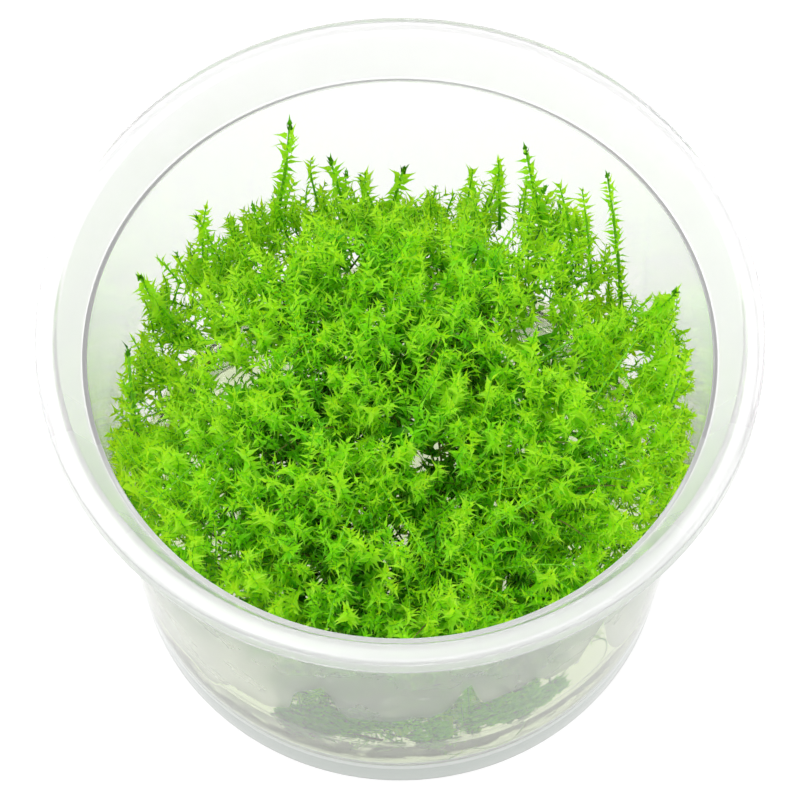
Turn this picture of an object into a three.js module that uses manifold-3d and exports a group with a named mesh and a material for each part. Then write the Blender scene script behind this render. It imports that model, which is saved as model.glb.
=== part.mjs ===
// Stringy aquarium moss on a thin layer of clear gel in an open, see-through plastic cup.
// Millimetres, +Z up. The origin is the centre of the ring that the cup stands on.
import * as THREE from "three";
import { mergeVertices } from "three/addons/utils/BufferGeometryUtils.js";
import Module from "manifold-3d";

const wasm = await Module();
wasm.setup();

// Cup
const CUP_HEIGHT = 69;
const RIM_R = 50; // outer edge of the rolled-down flange
const MOUTH_R = 47; // inner edge of the flat rim
const SEAT_R = 44; // foot of the flare that a lid would sit in
const SEAT_DEPTH = 6.8;
const SHOULDER_R = 44.1; // outside of the body just under the seat
const FOOT_R = 39.6; // outside of the ring that the cup stands on
const WALL = 0.9;
const SKIRT_DEPTH = 3.1;
const FLOOR_TOP = 7.4;
const FLOOR_THICKNESS = 1.0;
const FOOT_WIDTH = 1.2;
const EDGE = 0.4; // chamfer on the outer corners
const FLOOR_FILLET = 1.0;
const CUP_SIDES = 40;

// Gel and the tangle of old stems on it
const GAP = 0.3; // clearance between pieces that lie against each other
const GEL_SIDE_GAP = 0.4; // a little more at the wall, where flat facets face the cup's corners
const GEL_LEVEL = 14.4;
const BED_SIDES = 30;
const BED_RINGS = [0, 11, 22, 33]; // ring radii that gel and tangle share, so their facets stay parallel
const TANGLE_SIDE = [[36.6, 20], [37.8, 28], [38.8, 36], [38.2, 41.5]]; // radius and height, going up
const TANGLE_LUMPS = [-1.4, 0.6]; // how far the side is pulled in or out
const CANOPY_RADIUS = 36.4;
const CANOPY_CENTRE = 49.6;
const CANOPY_RINGS = [30, 20, 10, 0];
const SHOULDER_START = 22; // radius where the canopy starts to fall to its edge
const EDGE_LEVEL = 42.5; // height of the edge that TANGLE_SIDE is given for
// Height of the canopy's edge, by degrees from +X. It is lowest between two clumps at the back.
const EDGE_HEIGHTS = [
  [0, 47], [12, 49], [22, 47], [32, 29], [40, 38], [50, 43], [58, 42], [70, 36], [82, 34], [96, 32],
  [108, 37], [120, 40], [132, 38], [142, 41], [152, 40], [162, 35], [174, 36], [184, 39], [196, 44],
  [225, 48], [270, 49], [315, 49], [345, 48], [360, 47],
];
// Wells between the clumps, where light comes up through the moss: place, depth and half width
const WELLS = [
  { x: -24, y: 4, depth: 11, width: 5.0 },
  { x: -35, y: -1, depth: 9, width: 4.5 },
  { x: -31, y: 17, depth: 5, width: 4.0 },
  { x: 20, y: 13, depth: 7, width: 4.5 },
  { x: 34, y: 6, depth: 8, width: 4.0 },
];

// Short leafy tips that stand all over the tangle
const TIP_LENGTH = 6.5;
const TIP_SINK = 2.6; // how deep a tip's pointed foot is sunk in the tangle
const TIP_REACH = 2.5; // from a tip's axis to the points of its leaves
const TIP_STEM_R = 0.7;
const TIP_LEAVES_AT = 0.4; // share of a tip's length
const CANOPY_TIPS = 87;
const CANOPY_TIP_RADIUS = 35.5;
const CANOPY_TIP_LEAN = [0.1, 0.45]; // run for each unit of rise
const CANOPY_TIP_SWING = 1.2; // radians to either side of straight out
const SIDE_TIP_ROWS = [22, 29, 36]; // heights
const SIDE_TIPS = 11; // in each row
const SIDE_TIP_RADIUS = 36.2;
const SIDE_TIP_LEAN = 0.2;
const SIDE_TIP_SHIFT = 0.1; // radians along the row
const SIDE_TIP_DEPTH = 4; // least depth of a side tip's base under the canopy

// Shoots
const STEM_R = 0.45;
const LEAF_REACH = 2.3; // from the stem's axis to a leaf's tip
const LEAF_RISE = 1.0; // how far a leaf's tip points up past its base
const LEAVES_IN_WHORL = 3;
const LEAF_PITCH = 2.2; // between one whorl of leaves and the next
const FIRST_WHORL = 0.6; // in pitches above the leafless part
const LAST_LEAVES = 0.7; // reach of the leaves next to the bud, as a share of the full reach
const CLOSING_WHORLS = 3; // how many whorls the leaves shorten over
const BUD_R = 0.7;
const BUD_LENGTH = 2.2;
const ROOT_DEPTH = 2.8; // leafless foot of a shoot, sunk in the tangle
const BARE_RISE = 1.8; // leafless part of a shoot above the tangle
const INNER_SHOOTS = 16;
const INNER_RADIUS = 28;
const INNER_RISE = [5.6, 6.8]; // height of an inner shoot over the canopy
const INNER_LEAN = [6, 24]; // degrees
const INNER_SWING = 0.8; // radians to either side of straight out
const PATH_STEP = 0.25;
const SAG = 0.02; // how far a shoot bows out, as a share of its length
const BRANCH_SLOPE = 0.9; // rise of a side branch for each unit of run
const BRANCH_SAG = 0.3;
const BRANCH_REACH = 0.8; // share of the shoot's own reach
const BRANCH_BARE = 1.0;
const BARE_LENGTH = ROOT_DEPTH + BARE_RISE;
const GOLDEN_ANGLE = Math.PI * (3 - Math.sqrt(5));
const SEED = 7;

// Shoots round the edge: the tip, a lower point that the stem runs towards, and the reach of the leaves.
const EDGE_SHOOTS = [
  { tip: [-15.8, 36.3, 61.8], toward: [-18.3, 33.2, 40.2], reach: 2.0 },
  { tip: [-10.1, 37.2, 50.3], toward: [-8.5, 36.4, 39.1], reach: 1.9 },
  { tip: [-5.1, 37.4, 46.2], toward: [-5.1, 36.8, 36.2], reach: 1.8 },
  { tip: [0.5, 37.6, 47.1], toward: [-1.9, 36.8, 31.6], reach: 1.9 },
  { tip: [10.6, 36.8, 48.2], toward: [9.8, 36.0, 37.7], reach: 1.8 },
  { tip: [18.0, 34.8, 58.2], toward: [20.6, 32.0, 42.8], reach: 2.0 },
  { tip: [22.9, 31.2, 53.8], toward: [25.2, 28.0, 41.7], reach: 1.8 },
  { tip: [26.0, 28.0, 57.8], toward: [27.6, 24.8, 41.6], reach: 1.4 },
  { tip: [29.2, 26.4, 65.0], toward: [31.8, 22.7, 39.9], reach: 1.35 },
  { tip: [14.3, 36.0, 52.2], toward: [14.6, 34.9, 40.9], reach: 1.8 },
  { tip: [38.5, 9.5, 61.5], toward: [35.3, 14.3, 43.3], reach: 1.8 },
  { tip: [38.4, 3.4, 57.0], toward: [37.0, 3.0, 43.0], reach: 1.9 },
  { tip: [38.2, -8.6, 57.0], toward: [34.2, -7.7, 43.7], reach: 2.0 },
  { tip: [30.6, -23.4, 58.0], toward: [27.3, -20.9, 44.2], reach: 2.1 },
  { tip: [20.6, -32.0, 58.0], toward: [18.4, -28.5, 44.7], reach: 2.1 },
  { tip: [7.4, -37.4, 58.5], toward: [6.7, -33.8, 44.6], reach: 2.1 },
  { tip: [-7.2, -37.4, 58.0], toward: [-6.5, -33.8, 44.1], reach: 2.1 },
  { tip: [-20.4, -32.4, 58.5], toward: [-18.2, -28.9, 45.2], reach: 2.1 },
  { tip: [-31.0, -22.8, 57.5], toward: [-28.0, -20.6, 43.6], reach: 1.9 },
  { tip: [-38.4, 5.0, 52.7], toward: [-37.6, -1.5, 43.0], reach: 2.0 },
  { tip: [-36.6, 13.5, 58.4], toward: [-34.3, 16.0, 43.4], reach: 1.9 },
  { tip: [-27.8, 27.0, 54.5], toward: [-28.1, 25.5, 44.0], reach: 2.0 },
];
// Side branches: number of the edge shoot, where on it the branch starts, its azimuth and its length.
const BRANCHES = [
  { shoot: 1, at: 0.5, azimuth: 10, length: 6.0 },
  { shoot: 6, at: 0.45, azimuth: 250, length: 5.5 },
  { shoot: 11, at: 0.55, azimuth: -100, length: 5.5 },
  { shoot: 22, at: 0.5, azimuth: 215, length: 5.0 },
];

const COLORS = {
  cup: 0xf1f4f2,
  gel: 0xdfe9d4,
  tangle: 0x3f7a12,
  shoot: [0x6fbf1a, 0x86cc22, 0x58ab14, 0x9ad62c],
};

// A small repeatable random source, so the part is the same each time.
function randomSource(seed) {
  let state = seed >>> 0;
  return () => {
    state = (state + 0x6d2b79f5) >>> 0;
    let mixed = Math.imul(state ^ (state >>> 15), state | 1);
    mixed ^= mixed + Math.imul(mixed ^ (mixed >>> 7), mixed | 61);
    return ((mixed ^ (mixed >>> 14)) >>> 0) / 4294967296;
  };
}

const random = randomSource(SEED);
const randomBetween = (low, high) => low + (high - low) * random();

// Outside and inside radius of the cup's body, which widens evenly from the foot to the shoulder.
const SHOULDER_Z = CUP_HEIGHT - SEAT_DEPTH - WALL;

function outerRadius(z) {
  return FOOT_R + ((SHOULDER_R - FOOT_R) * z) / SHOULDER_Z;
}

function innerRadius(z) {
  return outerRadius(z) - WALL;
}

// Turns a profile of [radius, height] pairs round +Z. shift(vertex, row, side) may move each vertex.
function turned(profile, sides, shift) {
  const points = profile.map(([r, z]) => new THREE.Vector2(r, z));
  const geometry = new THREE.LatheGeometry(points, sides);
  geometry.rotateX(Math.PI / 2);
  if (shift) {
    const position = geometry.attributes.position;
    const vertex = new THREE.Vector3();
    for (let i = 0; i < position.count; i += 1) {
      const row = i % profile.length;
      const side = Math.floor(i / profile.length) % sides;
      shift(vertex.fromBufferAttribute(position, i), row, side);
      position.setXYZ(i, vertex.x, vertex.y, vertex.z);
    }
  }
  return geometry;
}

// The three.js geometry as a solid for cutting and joining, without seams or empty triangles.
function toSolid(geometry) {
  const bare = geometry.clone();
  bare.deleteAttribute("normal");
  bare.deleteAttribute("uv");
  const merged = mergeVertices(bare, 1e-4);
  const corners = Array.from(merged.index.array);
  const triangles = [];
  for (let i = 0; i < corners.length; i += 3) {
    const [a, b, c] = corners.slice(i, i + 3);
    if (a !== b && b !== c && c !== a) triangles.push(a, b, c);
  }
  return new wasm.Manifold(
    new wasm.Mesh({
      numProp: 3,
      vertProperties: new Float32Array(merged.attributes.position.array),
      triVerts: new Uint32Array(triangles),
    }),
  );
}

function toGeometry(solid) {
  const mesh = solid.getMesh();
  const geometry = new THREE.BufferGeometry();
  geometry.setAttribute("position", new THREE.BufferAttribute(new Float32Array(mesh.vertProperties), 3));
  geometry.setIndex(new THREE.BufferAttribute(new Uint32Array(mesh.triVerts), 1));
  geometry.computeVertexNormals();
  return geometry;
}

// One moulding: ring foot, raised floor, tapered body, flared lid seat and flange with a short skirt.
function cupGeometry() {
  const floorUnder = FLOOR_TOP - FLOOR_THICKNESS;
  const seatTop = CUP_HEIGHT - SEAT_DEPTH;
  const flare = new THREE.Vector2(MOUTH_R - SEAT_R, SEAT_DEPTH).normalize();
  const flareOutside = (z) => SEAT_R + WALL / flare.y + ((z - seatTop) * flare.x) / flare.y;
  const plateUnder = CUP_HEIGHT - WALL;
  const skirtBottom = CUP_HEIGHT - SKIRT_DEPTH;
  return turned(
    [
      [0, floorUnder],
      [innerRadius(floorUnder) - EDGE, floorUnder],
      [innerRadius(floorUnder), floorUnder - EDGE],
      [FOOT_R - FOOT_WIDTH, 0],
      [FOOT_R - EDGE, 0],
      [outerRadius(EDGE), EDGE],
      [SHOULDER_R, SHOULDER_Z],
      [flareOutside(SHOULDER_Z), SHOULDER_Z],
      [flareOutside(plateUnder), plateUnder],
      [RIM_R - WALL, plateUnder],
      [RIM_R - WALL, skirtBottom],
      [RIM_R, skirtBottom],
      [RIM_R, CUP_HEIGHT - EDGE],
      [RIM_R - EDGE, CUP_HEIGHT],
      [MOUTH_R, CUP_HEIGHT],
      [SEAT_R, seatTop],
      [innerRadius(seatTop), seatTop],
      [innerRadius(FLOOR_TOP + FLOOR_FILLET), FLOOR_TOP + FLOOR_FILLET],
      [innerRadius(FLOOR_TOP) - FLOOR_FILLET, FLOOR_TOP],
      [0, FLOOR_TOP],
    ],
    CUP_SIDES,
  );
}

// Height of the gel's uneven top.
function bedHeight(x, y) {
  return GEL_LEVEL + 0.8 * Math.sin(x / 9 + 0.6) * Math.cos(y / 10) + 0.5 * Math.sin((x + y) / 8);
}

// The gel fills the cup's bottom up to its uneven top.
function gelGeometry() {
  const bottom = FLOOR_TOP + GAP;
  const top = BED_RINGS.map((r) => [r, GEL_LEVEL]).reverse();
  const profile = [
    [0, bottom],
    [innerRadius(bottom) - FLOOR_FILLET - GAP, bottom],
    [innerRadius(bottom + FLOOR_FILLET) - GEL_SIDE_GAP, bottom + FLOOR_FILLET],
    [innerRadius(GEL_LEVEL) - GEL_SIDE_GAP, GEL_LEVEL],
    ...top,
  ];
  return turned(profile, BED_SIDES, (vertex) => {
    if (vertex.z > GEL_LEVEL - 0.01) vertex.z = bedHeight(vertex.x, vertex.y);
  });
}

// Height of the canopy's edge in the direction of a point.
function edgeHeight(x, y) {
  const turn = THREE.MathUtils.euclideanModulo(THREE.MathUtils.radToDeg(Math.atan2(y, x)), 360);
  const next = EDGE_HEIGHTS.findIndex(([azimuth]) => azimuth > turn);
  const [[fromTurn, fromHeight], [toTurn, toHeight]] = EDGE_HEIGHTS.slice(next - 1, next + 1);
  return THREE.MathUtils.mapLinear(turn, fromTurn, toTurn, fromHeight, toHeight);
}

// Height of the tangle's top: swells and wells in the middle, and shoulders that fall to an uneven edge.
function canopyHeight(x, y) {
  const swells = 1.1 * Math.sin(x / 6.5 + 1.2) * Math.sin(y / 7.5) + 0.7 * Math.sin((x - y) / 5);
  const fall = THREE.MathUtils.smoothstep(Math.hypot(x, y), SHOULDER_START, CANOPY_RADIUS);
  const height = THREE.MathUtils.lerp(CANOPY_CENTRE + swells, edgeHeight(x, y), fall);
  return WELLS.reduce((level, well) => {
    const away = Math.hypot(x - well.x, y - well.y) / well.width;
    return level - well.depth * Math.exp(-away * away);
  }, height);
}

// The mass of old, interwoven stems that the shoots grow out of.
function tangleGeometry() {
  const under = BED_RINGS.map((r) => [r, GEL_LEVEL]);
  const canopy = CANOPY_RINGS.map((r) => [r, CANOPY_CENTRE]);
  const profile = [...under, ...TANGLE_SIDE, ...canopy];
  const firstSide = under.length;
  const firstCanopy = under.length + TANGLE_SIDE.length;
  const lumpyRow = () => TANGLE_SIDE.map(() => randomBetween(...TANGLE_LUMPS));
  const lump = Array.from({ length: BED_SIDES }, lumpyRow);
  return turned(profile, BED_SIDES, (vertex, row, side) => {
    if (row < firstSide) {
      vertex.z = bedHeight(vertex.x, vertex.y) + GAP;
    } else if (row < firstCanopy) {
      const r = Math.hypot(vertex.x, vertex.y);
      const grown = r + lump[side][row - firstSide];
      vertex.x *= grown / r;
      vertex.y *= grown / r;
      const stretch = (canopyHeight(vertex.x, vertex.y) - GEL_LEVEL) / (EDGE_LEVEL - GEL_LEVEL);
      vertex.z = GEL_LEVEL + (vertex.z - GEL_LEVEL) * stretch;
    } else {
      vertex.z = canopyHeight(vertex.x, vertex.y);
    }
  });
}

// Skins rings of equal vertex count, closed at the last ring by a fan to the apex and at the first ring by a
// fan to the foot, or by a flat cap where there is no foot. cutsForward(ring, j) says which diagonal splits
// the quad from vertex j to j + 1.
function skinned(rings, apex, cutsForward, foot) {
  const count = rings[0].length;
  const vertices = [...rings.flat(), apex];
  const apexIndex = vertices.length - 1;
  const at = (ringNumber, j) => ringNumber * count + (j % count);
  const index = [];
  if (foot) {
    vertices.push(foot);
    for (let j = 0; j < count; j += 1) index.push(vertices.length - 1, at(0, j + 1), at(0, j));
  } else {
    for (let j = 1; j < count - 1; j += 1) index.push(at(0, 0), at(0, j + 1), at(0, j));
  }
  for (let i = 0; i < rings.length - 1; i += 1) {
    for (let j = 0; j < count; j += 1) {
      const [a, b] = [at(i, j), at(i, j + 1)];
      const [d, c] = [at(i + 1, j), at(i + 1, j + 1)];
      if (cutsForward(i, j)) index.push(a, b, c, a, c, d);
      else index.push(a, b, d, b, c, d);
    }
  }
  for (let j = 0; j < count; j += 1) {
    index.push(at(rings.length - 1, j), at(rings.length - 1, j + 1), apexIndex);
  }
  const geometry = new THREE.BufferGeometry();
  geometry.setFromPoints(vertices);
  geometry.setIndex(index);
  geometry.computeVertexNormals();
  return geometry;
}

function frameOn(along) {
  const across = new THREE.Vector3(-along.z, 0, along.x).normalize();
  return { across, third: along.clone().cross(across), along };
}

// Points evenly round a centre. radiusOf(j) and riseOf(j) pull each one out and up.
function ring(centre, frame, count, turn, radiusOf, riseOf = () => 0) {
  return Array.from({ length: count }, (_, j) => {
    const angle = turn + (j * 2 * Math.PI) / count;
    return centre
      .clone()
      .addScaledVector(frame.across, radiusOf(j) * Math.cos(angle))
      .addScaledVector(frame.third, radiusOf(j) * Math.sin(angle))
      .addScaledVector(frame.along, riseOf(j));
  });
}

// Six points round a stem, every second one pulled out and up to a leaf's tip.
function whorl(centre, frame, stemRadius, reach, rise, firstLeaf = 0, turn = 0) {
  const isLeaf = (j) => (j + firstLeaf) % 2 === 0;
  const radius = (j) => (isLeaf(j) ? reach : stemRadius);
  const lift = (j) => (isLeaf(j) ? rise : 0);
  return ring(centre, frame, 2 * LEAVES_IN_WHORL, turn, radius, lift);
}

// Splits each face between two whorls so that a leaf's point has a spine to each side.
const leafDiagonal = (ringNumber, j) => (ringNumber + j) % 2 === 1;

// A stem with three leaves to a whorl, leafless below bareLength and closed by a bud at its tip.
function shootGeometry(path, reach, bareLength) {
  const length = path.getLength();
  const whorls = Math.max(1, Math.round((length - bareLength) / LEAF_PITCH));
  const station = (along) => [path.getPointAt(along / length), frameOn(path.getTangentAt(along / length))];
  const stemRing = (along) => ring(...station(along), 2 * LEAVES_IN_WHORL, 0, () => STEM_R);
  const rings = [stemRing(0), stemRing(bareLength)];
  for (let i = 0; i < whorls; i += 1) {
    const along = bareLength + ((i + FIRST_WHORL) / whorls) * (length - bareLength);
    const open = Math.min(1, (length - along) / (CLOSING_WHORLS * LEAF_PITCH));
    const leafReach = reach * (LAST_LEAVES + (1 - LAST_LEAVES) * open);
    rings.push(whorl(...station(along), STEM_R, leafReach, LEAF_RISE, i));
  }
  const [end, frame] = station(length);
  rings.push(ring(end, frame, 2 * LEAVES_IN_WHORL, 0, () => BUD_R));
  return skinned(rings, end.clone().addScaledVector(frame.along, BUD_LENGTH), leafDiagonal);
}

// The socket for a shoot's leafless foot: a square hole along its path.
function socketGeometry(path) {
  const [start, end] = [path.getPointAt(0), path.getPointAt(BARE_LENGTH / path.getLength())];
  const frame = frameOn(end.clone().sub(start).normalize());
  const radius = (STEM_R + GAP) * Math.SQRT2;
  start.addScaledVector(frame.along, -GAP);
  const rings = [start, end].map((centre) => ring(centre, frame, 4, 0, () => radius));
  return skinned(rings, end.clone().addScaledVector(frame.along, radius), () => true);
}

// A short leafy tip: three leaves round a pointed bud, on a pointed foot sunk in the tangle.
function tipGeometry({ base, direction, turn }) {
  const middle = base.clone().addScaledVector(direction, TIP_LEAVES_AT * TIP_LENGTH);
  const leaves = whorl(middle, frameOn(direction), TIP_STEM_R, TIP_REACH, LEAF_RISE, 0, turn);
  const apex = base.clone().addScaledVector(direction, TIP_LENGTH);
  const foot = base.clone().addScaledVector(direction, -TIP_SINK);
  return skinned([leaves], apex, leafDiagonal, foot);
}

// An upward direction that leans by run units for each unit of rise.
function leaning(azimuth, run) {
  return new THREE.Vector3(run * Math.cos(azimuth), run * Math.sin(azimuth), 1).normalize();
}

// Places for short tips, spread evenly over the canopy and in rows round the tangle's side.
function tipPlaces() {
  const places = [];
  for (let i = 0; i < CANOPY_TIPS; i += 1) {
    const r = CANOPY_TIP_RADIUS * Math.sqrt((i + 0.5) / CANOPY_TIPS);
    const turn = i * GOLDEN_ANGLE;
    const [x, y] = [r * Math.cos(turn), r * Math.sin(turn)];
    const aim = turn + randomBetween(-CANOPY_TIP_SWING, CANOPY_TIP_SWING);
    const direction = leaning(aim, randomBetween(...CANOPY_TIP_LEAN));
    places.push({ base: new THREE.Vector3(x, y, canopyHeight(x, y)), direction, turn });
  }
  for (const [row, z] of SIDE_TIP_ROWS.entries()) {
    for (let i = 0; i < SIDE_TIPS; i += 1) {
      const even = ((i + 0.5 * (row % 2)) * 2 * Math.PI) / SIDE_TIPS;
      const turn = even + randomBetween(-SIDE_TIP_SHIFT, SIDE_TIP_SHIFT);
      const [x, y] = [SIDE_TIP_RADIUS * Math.cos(turn), SIDE_TIP_RADIUS * Math.sin(turn)];
      if (z > canopyHeight(x, y) - SIDE_TIP_DEPTH) continue;
      places.push({ base: new THREE.Vector3(x, y, z), direction: leaning(turn, SIDE_TIP_LEAN), turn });
    }
  }
  return places;
}

// Follows a direction down from a shoot's tip until it is ROOT_DEPTH under the canopy.
function shootPath(tip, down) {
  const root = tip.clone();
  while (root.z > canopyHeight(root.x, root.y) - ROOT_DEPTH) root.addScaledVector(down, PATH_STEP);
  const top = tip.clone().addScaledVector(down, BUD_LENGTH);
  const middle = root.clone().lerp(top, 0.5);
  const out = new THREE.Vector2(middle.x, middle.y).setLength(SAG * root.distanceTo(top));
  middle.x += out.x;
  middle.y += out.y;
  return new THREE.QuadraticBezierCurve3(root, middle, top);
}

function branchPath(path, { at, azimuth, length }) {
  const start = path.getPointAt(at);
  const turn = THREE.MathUtils.degToRad(azimuth);
  const out = new THREE.Vector3(Math.cos(turn), Math.sin(turn), BRANCH_SLOPE).normalize();
  const end = start.clone().addScaledVector(out, length - BUD_LENGTH);
  const middle = start.clone().lerp(end, 0.5);
  middle.z -= BRANCH_SAG;
  return new THREE.QuadraticBezierCurve3(start, middle, end);
}

function edgeShoots() {
  return EDGE_SHOOTS.map(({ tip, toward, reach }, i) => {
    const top = new THREE.Vector3(...tip);
    return {
      path: shootPath(top, new THREE.Vector3(...toward).sub(top).normalize()),
      reach,
      branches: BRANCHES.filter((branch) => branch.shoot === i + 1),
    };
  });
}

// The shoots inside the edge, spread evenly on a sunflower spiral.
function innerShoots() {
  return Array.from({ length: INNER_SHOOTS }, (_, i) => {
    const r = INNER_RADIUS * Math.sqrt((i + 0.5) / INNER_SHOOTS);
    const turn = i * GOLDEN_ANGLE;
    const [x, y] = [r * Math.cos(turn), r * Math.sin(turn)];
    const tip = new THREE.Vector3(x, y, canopyHeight(x, y) + randomBetween(...INNER_RISE));
    const run = Math.tan(THREE.MathUtils.degToRad(randomBetween(...INNER_LEAN)));
    const down = leaning(turn + randomBetween(-INNER_SWING, INNER_SWING), run).negate();
    return { path: shootPath(tip, down), reach: LEAF_REACH, branches: [] };
  });
}

const shoots = [...edgeShoots(), ...innerShoots()];

function namedMesh(name, geometry, color, roughness, opacity = 1) {
  const material = new THREE.MeshStandardMaterial({ color, roughness, metalness: 0, flatShading: true });
  material.transparent = opacity < 1;
  material.opacity = opacity;
  const mesh = new THREE.Mesh(geometry, material);
  mesh.name = name;
  return mesh;
}

function shootSolid({ path, reach, branches }) {
  const stem = toSolid(shootGeometry(path, reach, BARE_LENGTH));
  const sides = branches.map((branch) =>
    toSolid(shootGeometry(branchPath(path, branch), reach * BRANCH_REACH, BRANCH_BARE)),
  );
  return sides.reduce((solid, side) => solid.add(side), stem);
}

function shootMesh(solid, number) {
  const name = `moss_shoot_${String(number).padStart(2, "0")}`;
  return namedMesh(name, toGeometry(solid), COLORS.shoot[number % COLORS.shoot.length], 0.6);
}

// The tangle with a socket for each shoot and short tips wherever one stands clear of the shoots.
// Crumbs that the cuts leave loose are dropped.
function wholeTangle(shootSolids) {
  let solid = toSolid(tangleGeometry());
  for (const place of tipPlaces()) {
    const tip = toSolid(tipGeometry(place));
    const free = shootSolids.every((shoot) => tip.minGap(shoot, 2 * GAP) > GAP);
    if (free) solid = solid.add(tip);
  }
  for (const { path } of shoots) solid = solid.subtract(toSolid(socketGeometry(path)));
  const pieces = solid.decompose();
  pieces.sort((a, b) => b.volume() - a.volume());
  return toGeometry(pieces[0]);
}

const shootSolids = shoots.map(shootSolid);
const moss = new THREE.Group();
moss.add(namedMesh("cup", cupGeometry(), COLORS.cup, 0.25, 0.4));
moss.add(namedMesh("gel", gelGeometry(), COLORS.gel, 0.15, 0.6));
moss.add(namedMesh("moss_tangle", wholeTangle(shootSolids), COLORS.tangle, 0.8));
shootSolids.forEach((solid, i) => moss.add(shootMesh(solid, i + 1)));

export default moss;
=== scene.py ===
"""Looks for the potted stringy moss: clear cup, gel, and leafy moss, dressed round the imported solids.

Measures here are millimetres, turned into metres when a mesh is made. Azimuths are degrees, 0 at +X and 90 at +Y.
"""

import math

import bpy
import numpy as np
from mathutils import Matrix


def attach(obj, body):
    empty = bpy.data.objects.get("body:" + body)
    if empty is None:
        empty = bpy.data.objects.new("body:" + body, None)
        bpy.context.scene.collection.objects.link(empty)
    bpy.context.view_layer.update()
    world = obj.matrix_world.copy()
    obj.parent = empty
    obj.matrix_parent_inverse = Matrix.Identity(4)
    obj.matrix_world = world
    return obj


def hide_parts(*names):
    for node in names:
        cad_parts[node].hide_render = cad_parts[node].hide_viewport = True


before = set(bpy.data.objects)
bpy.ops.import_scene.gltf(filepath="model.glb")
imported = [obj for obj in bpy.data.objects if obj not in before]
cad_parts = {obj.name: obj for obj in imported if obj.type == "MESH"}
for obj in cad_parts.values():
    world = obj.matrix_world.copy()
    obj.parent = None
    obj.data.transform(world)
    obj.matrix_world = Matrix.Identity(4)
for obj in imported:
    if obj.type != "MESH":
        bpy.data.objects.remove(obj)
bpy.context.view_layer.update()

MM = 0.001
random = np.random.default_rng(4117)

# Cup, as in the solid
CUP_HEIGHT = 69.0
RIM_R = 50.0
MOUTH_R = 47.0
SEAT_R = 44.0
SEAT_DEPTH = 6.8
SHOULDER_R = 44.1
FOOT_R = 39.6
WALL = 0.9
SKIRT_DEPTH = 3.1
FLOOR_TOP = 7.4
FLOOR_THICKNESS = 1.0
FOOT_WIDTH = 1.2
SHOULDER_Z = CUP_HEIGHT - SEAT_DEPTH - WALL
SEAT_Z = CUP_HEIGHT - SEAT_DEPTH
FLOOR_FILLET = 1.0
LIP = 2.5  # plain band of wall under the seat
CUP_SEGMENTS = 240
GEL_SEGMENTS = 180
GEL_LEVEL = 14.4
GEL_GAP = 0.06  # between the gel and the cup
MENISCUS_TOP = 18.2
WET_EDGE = 0.2  # half height of the band where the wet wall begins

# Degrees from the front where the rim's and the dry wall's copies of one plastic change. They differ by painted
# light: the near rim is painted darker as painted shade, the near dry wall is painted yellow-green as painted light
# from the moss, and the far ones whiter.
RIM_NEAR_TO, RIM_SIDE_TO = 50.0, 72.0
WALL_NEAR_TO, WALL_SIDE_TO = 58.0, 78.0

# Camera, fitted to the photo
LOOK_AT = (0.0, 0.0, 0.04672)
CAMERA_DISTANCE = 0.564
CAMERA_ELEVATION = 63.41
LENS_MM = 179.06
SENSOR_MM = 36.0


def outer_radius(z):
    return FOOT_R + (SHOULDER_R - FOOT_R) * z / SHOULDER_Z


def inner_radius(z):
    return outer_radius(z) - WALL


def smooth_step(low, high, value):
    t = np.clip((value - low) / (high - low), 0.0, 1.0)
    return t * t * (3.0 - 2.0 * t)


def unit(vectors):
    return vectors / np.maximum(np.linalg.norm(vectors, axis=-1, keepdims=True), 1e-9)


def polar(radius, azimuth_deg, z):
    angle = np.radians(azimuth_deg)
    return np.stack(np.broadcast_arrays(radius * np.cos(angle), radius * np.sin(angle), z), axis=-1)


def curve_at(path, t):
    """Points of the curve from the first point of a path to the last, which the middle one bends."""
    a, b, c = path
    t = t[..., None]
    return (1 - t) ** 2 * a + 2 * t * (1 - t) * b + t * t * c


def turned(first, second, angle):
    """The direction at an angle from the first one to the second."""
    return first * np.cos(angle) + second * np.sin(angle)


def azimuth_of(x, y):
    return np.degrees(np.arctan2(y, x))


def round_the_cup(table, azimuth):
    """Reads a table of (azimuth, value), closed round the circle."""
    rows = sorted(table)
    angles = [a for a, _ in rows]
    values = [v for _, v in rows]
    angles = [angles[-1] - 360.0] + angles + [angles[0] + 360.0]
    values = [values[-1]] + values + [values[0]]
    return np.interp(np.mod(azimuth, 360.0), angles, values)


# Height at which moss and gel stop wetting the wall
WET_LINE = [
    (0, 14.5), (20, 15.5), (45, 14.0), (70, 16.0), (95, 14.5), (120, 15.5), (150, 14.0), (175, 15.5), (195, 14.0),
    (208, 15.5), (222.7, 16.8), (227.4, 14.7), (234.2, 21.5), (237.4, 20.5), (242.4, 21.0), (247.5, 25.0),
    (249.3, 34.0), (252.5, 36.5), (255.8, 38.8), (257.5, 30.5), (259.5, 27.5), (265, 27.5), (269.9, 28.5),
    (274, 29.5), (275.8, 28.8), (279.8, 31.5), (282.0, 38.0), (283.2, 42.0), (284.4, 36.0), (286.5, 31.5),
    (289.5, 32.0), (293.8, 33.0), (297, 34.0), (300, 30.0), (303.5, 30.0), (307.5, 30.0), (309.8, 37.0),
    (312.3, 42.0), (313.8, 34.0), (316, 26.0), (319, 20.0), (323, 16.0), (335, 14.5),
]

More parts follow.
